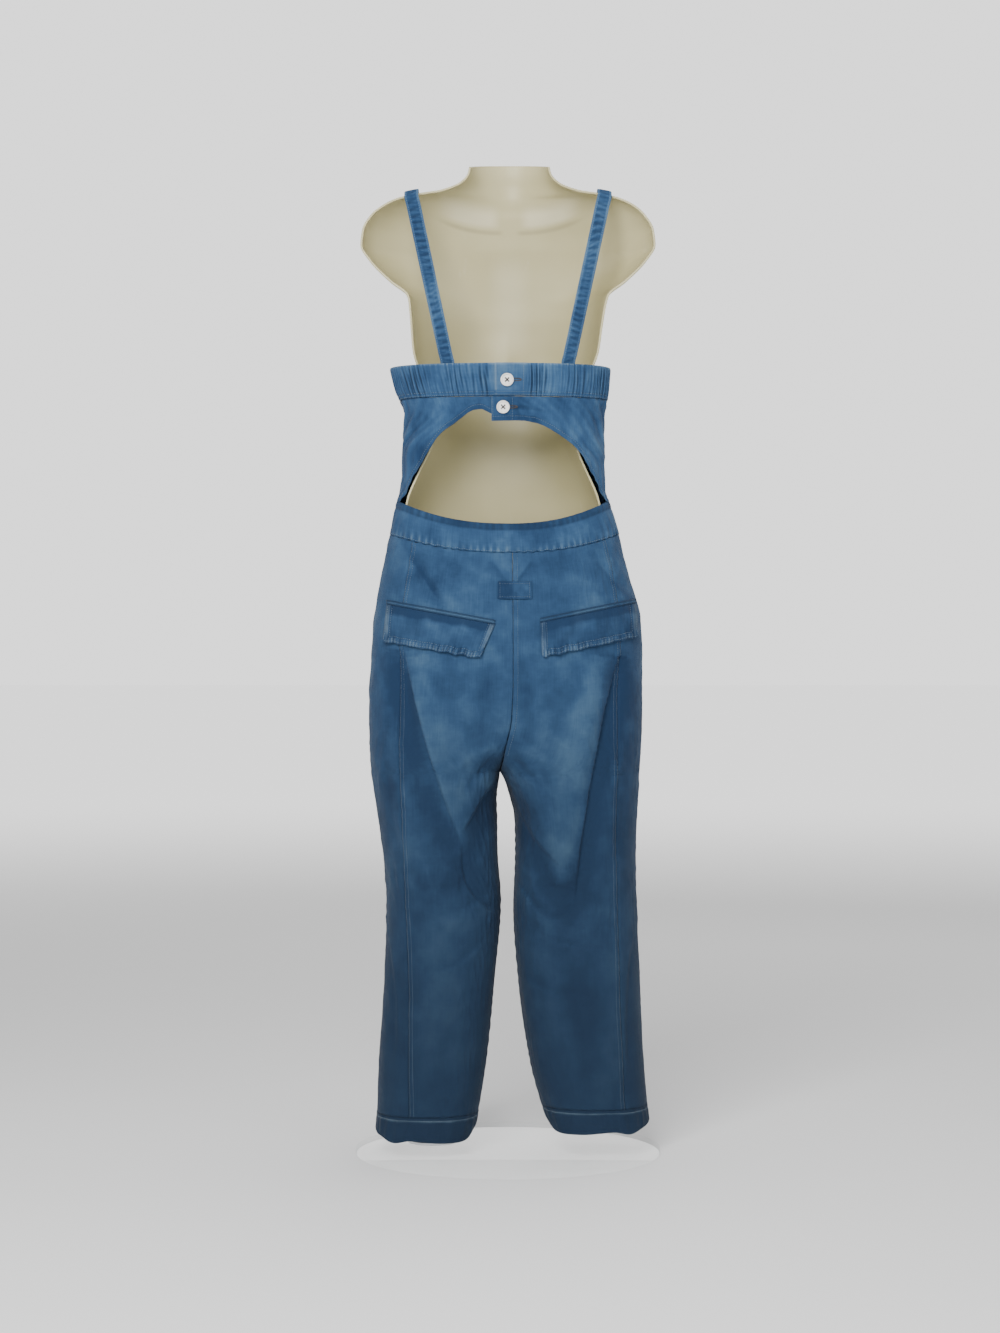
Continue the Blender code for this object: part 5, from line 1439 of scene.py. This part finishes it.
# The hollow torso form
form = {"shell": 0.0030, "rim": 0.0009, "grid": (110, 150)}
form.update({"neckSpread": 0.062, "neckLow": 1.330, "neckSlope": 0.16})
formSizes = SizeTable(
    "z half mid rim depth neck",
    [
        (0.600, 0.158, -0.004, -0.015, 0.120, 0.0),
        (0.640, 0.165, -0.004, -0.015, 0.126, 0.0),
        (0.700, 0.169, -0.004, -0.015, 0.130, 0.0),
        (0.760, 0.164, -0.005, -0.015, 0.128, 0.0),
        (0.820, 0.149, -0.005, -0.015, 0.122, 0.0),
        (0.870, 0.1380, -0.006, -0.015, 0.117, 0.0),
        (0.900, 0.1325, -0.007, -0.015, 0.114, 0.0),
        (0.940, 0.1158, -0.007, -0.015, 0.110, 0.0),
        (0.965, 0.1042, -0.006, -0.015, 0.109, 0.0),
        (0.985, 0.0985, -0.005, -0.015, 0.109, 0.0),
        (1.020, 0.0995, -0.004, -0.015, 0.113, 0.0),
        (1.060, 0.1120, -0.004, -0.015, 0.120, 0.0),
        (1.102, 0.1280, -0.003, -0.015, 0.126, 0.0),
        (1.135, 0.1320, -0.002, -0.014, 0.126, 0.0),
        (1.160, 0.1350, -0.001, -0.013, 0.122, 0.0),
        (1.180, 0.1390, 0.0, -0.012, 0.118, 0.0),
        (1.200, 0.1630, 0.0, -0.011, 0.112, 0.0),
        (1.2285, 0.1910, 0.0, -0.009, 0.102, 0.0),
        (1.2506, 0.2035, 0.0, -0.007, 0.092, 0.0),
        (1.273, 0.2010, 0.0, -0.005, 0.080, 0.004),
        (1.295, 0.1880, 0.0, -0.003, 0.064, 0.012),
        (1.308, 0.1720, 0.001, -0.002, 0.053, 0.020),
        (1.317, 0.1530, 0.001, -0.001, 0.044, 0.026),
        (1.3235, 0.1250, 0.002, 0.0, 0.038, 0.030),
        (1.328, 0.0960, 0.002, 0.0, 0.036, 0.032),
        (1.339, 0.0680, 0.002, 0.0, 0.046, 0.022),
        (1.350, 0.0580, 0.002, 0.0, 0.056, 0.010),
        (1.360, 0.0555, 0.002, 0.0, 0.062, 0.004),
    ],
)
formRows = np.concatenate(
    [
        np.linspace(0.600, 1.150, 60, endpoint=False),
        np.linspace(1.150, 1.290, 50, endpoint=False),
        np.linspace(1.290, 1.345, 44, endpoint=False),
        np.linspace(1.345, 1.360, 8),
    ]
)


def formPoint(angle, z):
    half, depth = formSizes.at("half", z), formSizes.at("depth", z)
    power = 2 / cloth["squareness"]
    cosine, sine = np.cos(angle), np.maximum(np.sin(angle), 0)
    across = -np.sign(cosine) * np.abs(cosine) ** power * half
    ahead = sine**power
    neck = formSizes.at("neck", z) * bell(across, form["neckSpread"])
    y = formSizes.at("rim", z) + depth * ahead + neck * ahead + bustOffset(across, z) * ahead
    x = formSizes.at("mid", z) + across
    z = z + form["neckSlope"] * y * smoothStep(form["neckLow"], 1.360, z)
    return np.stack([x, y, z], axis=-1)


formAngles = np.linspace(0, math.pi, 400)
formSpread = []
for z in formRows:
    lengths = lengthsAlong(formPoint(formAngles, z + 0 * formAngles))
    formSpread.append(np.interp(np.linspace(0, lengths[-1], 201), lengths, formAngles))
formSpread = np.array(formSpread)


def formAt(across, up):
    row = up * (len(formRows) - 1)
    column = across * 200
    i = np.minimum(row.astype(int), len(formRows) - 2)
    j = np.minimum(column.astype(int), 199)
    f, g = row - i, column - j
    angle = (formSpread[i, j] * (1 - g) + formSpread[i, j + 1] * g) * (1 - f)
    angle = angle + (formSpread[i + 1, j] * (1 - g) + formSpread[i + 1, j + 1] * g) * f
    return formPoint(angle, formRows[i] * (1 - f) + formRows[i + 1] * f)


shell = gridObject("formShell", form["grid"], formAt, (0.5, 0.76), plastic, True, form["shell"])
rim = shell.modifiers.new("rim", "BEVEL")
rim.width, rim.segments, rim.limit_method, rim.angle_limit = form["rim"], 2, "ANGLE", math.radians(50)
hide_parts("form_lower", "form_middle", "form_upper")
print("torso form made")

# Shoulder straps
strap = {"width": 0.0195, "wall": 0.0024, "tuck": 0.014, "slope": 0.19}
strap.update({"grid": (20, 300), "puckerPitch": 0.0098})
strapAcross = {"back": 0.0840, "shoulder": 0.1330, "front": 0.0850}
strapRidge = [
    (-0.010, 1.3190, -0.90, 0.45),
    (-0.002, 1.3262, -0.45, 0.90),
    (0.010, 1.3275, 0.10, 1.00),
    (0.022, 1.3245, 0.45, 0.90),
]
graph = bpy.context.evaluated_depsgraph_get()
graph.update()
formTree = BVHTree.FromObject(shell, graph)


def strapRow(side, place, kind):
    sign = signOf[side]
    row = []
    for share in (-0.5, 0.0, 0.5):
        if kind == "ridge":
            y, z, faceY, faceZ = place
            x = sign * strapAcross["shoulder"] + share * strap["width"]
            drop = strap["slope"] * (abs(x) - strapAcross["shoulder"])
            row.append((np.array((x, y, z - drop)), np.array((sign * strap["slope"] * faceZ, faceY, faceZ))))
        elif kind == "chest":
            start = Vector((place[0] + share * strap["width"], 1.0, place[1]))
            hit, normal, _, _ = formTree.ray_cast(start, Vector((0, -1, 0)))
            row.append((np.array(hit + normal * (strap["wall"] / 2 + 0.0013)), np.array(normal)))
        else:
            front = kind == "front"
            depth = 0.0022 + strap["wall"] / 2 + (0.0016 if front else cloth["lift"] + 0.0011)
            turn = float(angleAt(side, place[0] + share * strap["width"], place[1]))
            turn = 2 * math.pi - turn if front else turn
            point = bodyPoint(side, turn, place[1], -depth)
            e = 0.02
            beside = bodyPoint(side, turn + e, place[1]) - bodyPoint(side, turn - e, place[1])
            above = bodyPoint(side, turn, place[1] + 0.004) - bodyPoint(side, turn, place[1] - 0.004)
            row.append((point, unit(np.cross(beside, above)) * sign))
    return row


for side in ("left", "right"):
    sign, capital = signOf[side], side.capitalize()
    top = levels["bandTop"]
    backX, frontX = sign * strapAcross["back"], sign * strapAcross["front"]
    rows = [strapRow(side, (backX, top - strap["tuck"] * share), "back") for share in (1.0, 0.5, 0.0)]
    ridge = [strapRow(side, place, "ridge") for place in strapRidge]
    for share in (0.06, 0.35, 0.65, 0.94):
        row = []
        for (point, facing), (nextPoint, nextFacing) in zip(rows[2], ridge[0]):
            row.append((point + (nextPoint - point) * share, facing + (nextFacing - facing) * share))
        rows.append(row)
    rows += ridge
    frontTop = top + float(frontRise.at("rise", top)) * 0.7
    for share in np.linspace(0, 1, 12):
        z = 1.306 + (frontTop + 0.006 - 1.306) * share
        x = sign * (strapAcross["shoulder"] + (strapAcross["front"] - strapAcross["shoulder"]) * share)
        rows.append(strapRow(side, (x, z), "chest"))
    rows += [strapRow(side, (frontX, top - strap["tuck"] * share), "front") for share in (0.2, 1.0)]
    lengths = lengthsAlong(np.array([row[1][0] for row in rows]))
    tracks = []
    for i in range(3):
        track = [(s, *row[i][0], *row[i][1]) for s, row in zip(lengths, rows)]
        tracks.append(SizeTable("s x y z fx fy fz", track))

    def strapAt(across, up, lift=0.0, tracks=tracks, long=lengths[-1]):
        across, up = np.broadcast_arrays(np.asarray(across, float), np.asarray(up, float))
        s = up * long
        read = [np.stack([t.at(n, s) for n in ("x", "y", "z", "fx", "fy", "fz")], axis=-1) for t in tracks]
        a = across[..., None]
        near, away = read[0] * (1 - 2 * a) + read[1] * 2 * a, read[1] * (2 - 2 * a) + read[2] * (2 * a - 1)
        whole = np.where(a < 0.5, near, away)
        edge = np.minimum(across, 1 - across) * strap["width"]
        # puckered between its two rows of edge stitching
        ruffle = 0.0009 * puckers(s, strap["puckerPitch"], 2.0 + sign + across) * bell(edge - 0.0070, 0.0062)
        press = -0.0004 * bell(edge - 0.0026, 0.0008) - 0.0008 * bell(edge, 0.0010)
        out = strap["wall"] / 2 + ruffle + press + lift
        return whole[..., :3] + unit(whole[..., 3:]) * out[..., None]

    def strapWearAndShade(across, up, long=lengths[-1]):
        # pale worn edges, and between the stitching the puckers' crests worn pale and their troughs darkened
        # with painted shade
        edge = np.minimum(across, 1 - across)
        ripple = puckers(up * long, strap["puckerPitch"], 2.0 + sign + across)
        return 0.70 * bell(edge, 0.12) + 0.28 * ripple * smoothStep(0.04, 0.16, edge) - 0.30

    def strapDye(across, up, long=lengths[-1]):
        edge = np.minimum(across, 1 - across)
        s = up * long
        ripple = 0.5 * puckers(s, strap["puckerPitch"], 2.0 + sign + 1.6 * across)
        ripple = ripple + 0.6 * puckers(s, 0.0057, 4.0 - sign + 3.1 * across)
        return (0.7 * ripple - 0.50) * smoothStep(0.10, 0.26, edge) + 0.30 * smoothStep(0.18, 0.05, edge)

    finish = {"wall": strap["wall"] * 0.8, "wear": strapWearAndShade, "dye": strapDye}
    name, node, size = f"strap{capital}", f"strap_{side}", (strap["width"], lengths[-1])
    clothPiece(name, node, strap["grid"], strapAt, size, paleDenim, "hung", ["formShell"], **finish)
    line = np.linspace(0.002, 0.998, 700)
    for across in (0.12, 0.88):
        stitchLines.append((strapAt(across + 0 * line, line, stitch["lift"]), None))
print("straps made")

# Buttons with four holes and crossed thread, and their buttonholes
button = {"radius": 0.0090, "thick": 0.0034, "rim": 0.0018, "dish": 0.0016, "hole": 0.0014, "holeAt": 0.0030}
buttonPlaces = (
    ("buttonBand", "button_band", -0.0014, 1.0600, 0.0022),
    ("buttonPanel", "button_panel", -0.0067, 1.0235, 0.0016),
)
holeThreads = []
for name, node, x, z, wall in buttonPlaces:
    turn = float(angleAt("right", x, z))
    lap = float(lapOut("right", np.array(x), wall))
    surface = Vector(bodyPoint("right", turn, z, lap + 0.0011))
    above = bodyPoint("right", turn, z + 0.005) - bodyPoint("right", turn, z - 0.005)
    beside = bodyPoint("right", turn + 0.02, z) - bodyPoint("right", turn - 0.02, z)
    outward = Vector(np.cross(beside, above)).normalized()
    place = Matrix.Translation(surface) @ outward.to_track_quat("Z", "Y").to_matrix().to_4x4()
    r, t, rimWide, dish = button["radius"], button["thick"], button["rim"], button["dish"]
    profile = [
        (0.0, 0.0),
        (r * 0.80, 0.0),
        (r * 0.93, t * 0.14),
        (r, t * 0.42),
        (r * 0.985, t * 0.78),
        (r * 0.93, t * 0.97),
        (r * 0.87, t),
        (r * 0.81, t * 0.97),
        (r - rimWide * 1.5, t - dish),
        (r * 0.40, t - dish * 1.1),
        (0.0, t - dish * 1.15),
    ]
    piece = spunObject(name, profile, buttonWhite, 56, place)
    cutter = bmesh.new()
    offset = button["holeAt"] * 0.72
    for dx, dy in ((1, 1), (-1, 1), (-1, -1), (1, -1)):
        where = place @ Matrix.Translation((dx * offset, dy * offset, 0))
        width = button["hole"] * 0.75
        size = {"radius1": width, "radius2": width, "depth": 0.02, "segments": 16}
        bmesh.ops.create_cone(cutter, cap_ends=True, matrix=where, **size)
    cutterMesh = bpy.data.meshes.new("holes")
    cutter.to_mesh(cutterMesh)
    cutter.free()
    cutterObject = bpy.data.objects.new("holes", cutterMesh)
    bpy.context.scene.collection.objects.link(cutterObject)
    bored = piece.modifiers.new("holes", "BOOLEAN")
    bored.operation, bored.solver, bored.object = "DIFFERENCE", "EXACT", cutterObject
    graph = bpy.context.evaluated_depsgraph_get()
    graph.update()
    cutMesh = bpy.data.meshes.new_from_object(piece.evaluated_get(graph))
    piece.modifiers.clear()
    piece.data = cutMesh
    cutMesh.set_sharp_from_angle(angle=math.radians(35))
    bpy.data.objects.remove(cutterObject)
    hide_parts(node)
    # thread crossed between the holes, seen on the face
    for dx, dy in ((1, 1), (1, -1)):
        corners = [Vector((i * dx * offset, i * dy * offset, t - dish * 1.15)) for i in (-1, 0, 1)]
        start, middle, end = (place @ corner for corner in corners)
        middle += outward * 0.0005
        bulge = outward * 0.0003
        points = [start, (start + middle) / 2 + bulge, middle, (middle + end) / 2 + bulge, end]
        holeThreads.append((np.array(points), np.array([outward] * 5)))
print("buttons made")

buttonhole = {"long": 0.0215, "tall": 0.0034, "pitch": 0.00065}
holeStitches = []
for name, node, x, z, wall in buttonPlaces:
    for s in np.arange(0, 1, buttonhole["pitch"] / (2 * buttonhole["long"])):
        angle = 2 * math.pi * s
        cx = x + 0.0080 + math.cos(angle) * buttonhole["long"] / 2
        cz = z + math.sin(angle) * buttonhole["tall"] / 2
        turn = float(angleAt("right", cx, cz))
        lap = float(lapOut("right", np.array(cx), wall))
        base = bodyPoint("right", turn, cz, lap + 0.0008)
        ahead = np.array((math.cos(angle) * 0.6, 0.0, math.sin(angle)))
        points = np.array([base - ahead * 0.0008, base, base + ahead * 0.0008])
        holeStitches.append((points, np.array([(0.0, -1.0, 0.0)] * 3)))


# Lines without normals get them from the side of the body they lie on, and the others are turned outwards
def withNormals(lines):
    done = []
    for points, normals in lines:
        if normals is None:
            way = unit(np.gradient(points, axis=0))
            out = np.zeros_like(points)
            out[:, 1] = np.where(points[:, 1] < 0.012, -1.0, 1.0)
            normals = unit(out - way * (out * way).sum(axis=1, keepdims=True))
        else:
            ahead = ((points - np.array((0.0, 0.02, 0.0))) * normals * (1, 1, 0)).sum(axis=1, keepdims=True)
            normals = np.where(ahead < 0, -normals, normals)
        done.append((points, normals))
    return done


threadSize = {"length": 0.0020, "pitch": 0.0009, "width": 0.0019, "height": 0.0012}
holeSize = {"length": 0.0020, "pitch": 0.0016, "width": 0.0011, "height": 0.0007}
for name, thread, lines, size in (
    ("topstitching", paleThread, withNormals(stitchLines), stitch),
    ("legStitching", deepThread, withNormals(legStitchLines), stitch),
    ("buttonThread", rustThread, holeThreads, threadSize),
    ("buttonholeStitching", rustThread, holeStitches, holeSize),
):
    makeStitches(name, thread, lines, size)
print("stitching made")

# Stand
stand = {"poleX": -0.105, "poleY": 0.034, "poleRadius": 0.0125, "plateZ": 0.636}
stand.update({"baseRadius": 0.210, "baseThick": 0.008, "gap": 0.0003})
footZ = stand["baseThick"] + stand["gap"]
poleTop = stand["plateZ"] - stand["gap"]
r = stand["poleRadius"]
atPole = Matrix.Translation((stand["poleX"], stand["poleY"], 0))
pole = spunObject(
    "standPole",
    [(0, footZ), (r - 0.0006, footZ), (r, footZ + 0.0006), (r, poleTop - 0.004), (0.0275, poleTop - 0.004)]
    + [(0.028, poleTop - 0.0035), (0.028, poleTop), (0, poleTop)],
    steel,
    64,
    atPole,
)
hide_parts("stand_pole")
bore = r + stand["gap"]
socket = spunObject(
    "standSocket",
    [(bore, footZ), (0.0334, footZ), (0.034, footZ + 0.0006)]
    + [(0.034, footZ + 0.0034), (0.0334, footZ + 0.004)]
    + [(0.0240, footZ + 0.0046), (0.0222, footZ + 0.0062), (0.0190, footZ + 0.0292), (0.0183, footZ + 0.030)]
    + [(bore, footZ + 0.030), (bore, footZ)],
    steel,
    64,
    atPole,
)
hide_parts("stand_socket")
r, t = stand["baseRadius"], stand["baseThick"]
base = spunObject(
    "standBase",
    [(0, 0), (r - 0.0015, 0), (r - 0.0004, 0.0004), (r, 0.0015), (r, t - 0.0015), (r - 0.0004, t - 0.0004)]
    + [(r - 0.0015, t), (0, t)],
    glass,
    128,
    Matrix.Identity(4),
)
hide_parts("stand_base")
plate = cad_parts["form_plate"]
plate.data.materials.clear()
plate.data.materials.append(plastic)
print("stand made")

for piece, wide, tall, area, held, rests in sheets:
    flat = (max(wide, 0.0101), max(tall, 0.0101))
    if area is not None:
        area = min(max(area, 0.31 * flat[0] * flat[1]), flat[0] * flat[1])

# Floor, lights and camera
floorMaker = MaterialMaker("pale floor", Roughness=0.9, Emission_Strength=1.0)
acrossFloor, alongFloor, _ = floorMaker.parts(floorMaker.place())
away = (acrossFloor * acrossFloor + alongFloor * alongFloor) ** 0.5
glow = floorMaker.blend(away.between(1.0, 9.0), (0.0, 0.0, 0.0), (1.25, 1.25, 1.25))
floorMaker.feed("Emission Color", glow)
paper = floorMaker.noise(floorMaker.place(), 2.0)
floorMaker.feed("Base Color", floorMaker.blend(paper, (0.90, 0.90, 0.90), (0.92, 0.92, 0.92)))
builder = bmesh.new()
bmesh.ops.create_grid(builder, x_segments=2, y_segments=2, size=40.0)
floorMesh = bpy.data.meshes.new("floor")
builder.to_mesh(floorMesh)
builder.free()
floorMesh.materials.append(floorMaker.material)
floor = bpy.data.objects.new("floor", floorMesh)
bpy.context.scene.collection.objects.link(floor)

# a bright pale surround at eye level and a dim ceiling, so that the lamps shape the folds
world = bpy.data.worlds.new("studio")
bpy.context.scene.world = world
world.use_nodes = True
worldTree = world.node_tree
direction = worldTree.nodes.new("ShaderNodeTexCoord")
split = worldTree.nodes.new("ShaderNodeSeparateXYZ")
rise = worldTree.nodes.new("ShaderNodeMapRange")
for key, value in (("From Min", 0.22), ("From Max", 0.45), ("To Min", 1.7), ("To Max", 0.16)):
    rise.inputs[key].default_value = value
worldTree.links.new(direction.outputs["Generated"], split.inputs[0])
worldTree.links.new(split.outputs[2], rise.inputs["Value"])
worldTree.links.new(rise.outputs[0], worldTree.nodes["Background"].inputs["Strength"])
worldTree.nodes["Background"].inputs["Color"].default_value = (1.0, 1.0, 1.0, 1.0)

lightSettings = [
    ("key", (-0.7, -3.0, 2.3), (0.0, 0.0, 0.9), 1.5, 150.0),
    ("fill", (2.0, -2.6, 1.4), (0.0, 0.0, 0.8), 1.8, 12.0),
    ("top", (0.2, 0.3, 3.2), (0.0, 0.0, 0.8), 1.4, 30.0),
    ("back", (0.8, 2.8, 2.2), (0.0, 0.0, 0.9), 2.0, 20.0),
]
for name, place, aim, size, power in lightSettings:
    lamp = bpy.data.lights.new(name, "AREA")
    lamp.size, lamp.energy = size, power
    lampObject = bpy.data.objects.new(name, lamp)
    lampObject.location = place
    lampObject.rotation_mode = "QUATERNION"
    lampObject.rotation_quaternion = (Vector(aim) - Vector(place)).to_track_quat("-Z", "Y")
    bpy.context.scene.collection.objects.link(lampObject)

view = {"distance": 4.1, "height": 0.71, "x": -0.011, "centreZ": 0.670, "tall": 1.8396}
cameraData = bpy.data.cameras.new("camera")
cameraData.sensor_width = 36.0
cameraData.lens = 36.0 * view["distance"] / view["tall"]
cameraData.shift_y = (view["centreZ"] - view["height"]) / view["tall"]
cameraData.clip_end = 200
camera = bpy.data.objects.new("camera", cameraData)
camera.location = (view["x"], -view["distance"], view["height"])
camera.rotation_euler = (math.pi / 2, 0, 0)
bpy.context.scene.collection.objects.link(camera)
bpy.context.scene.camera = camera
print("studio made")
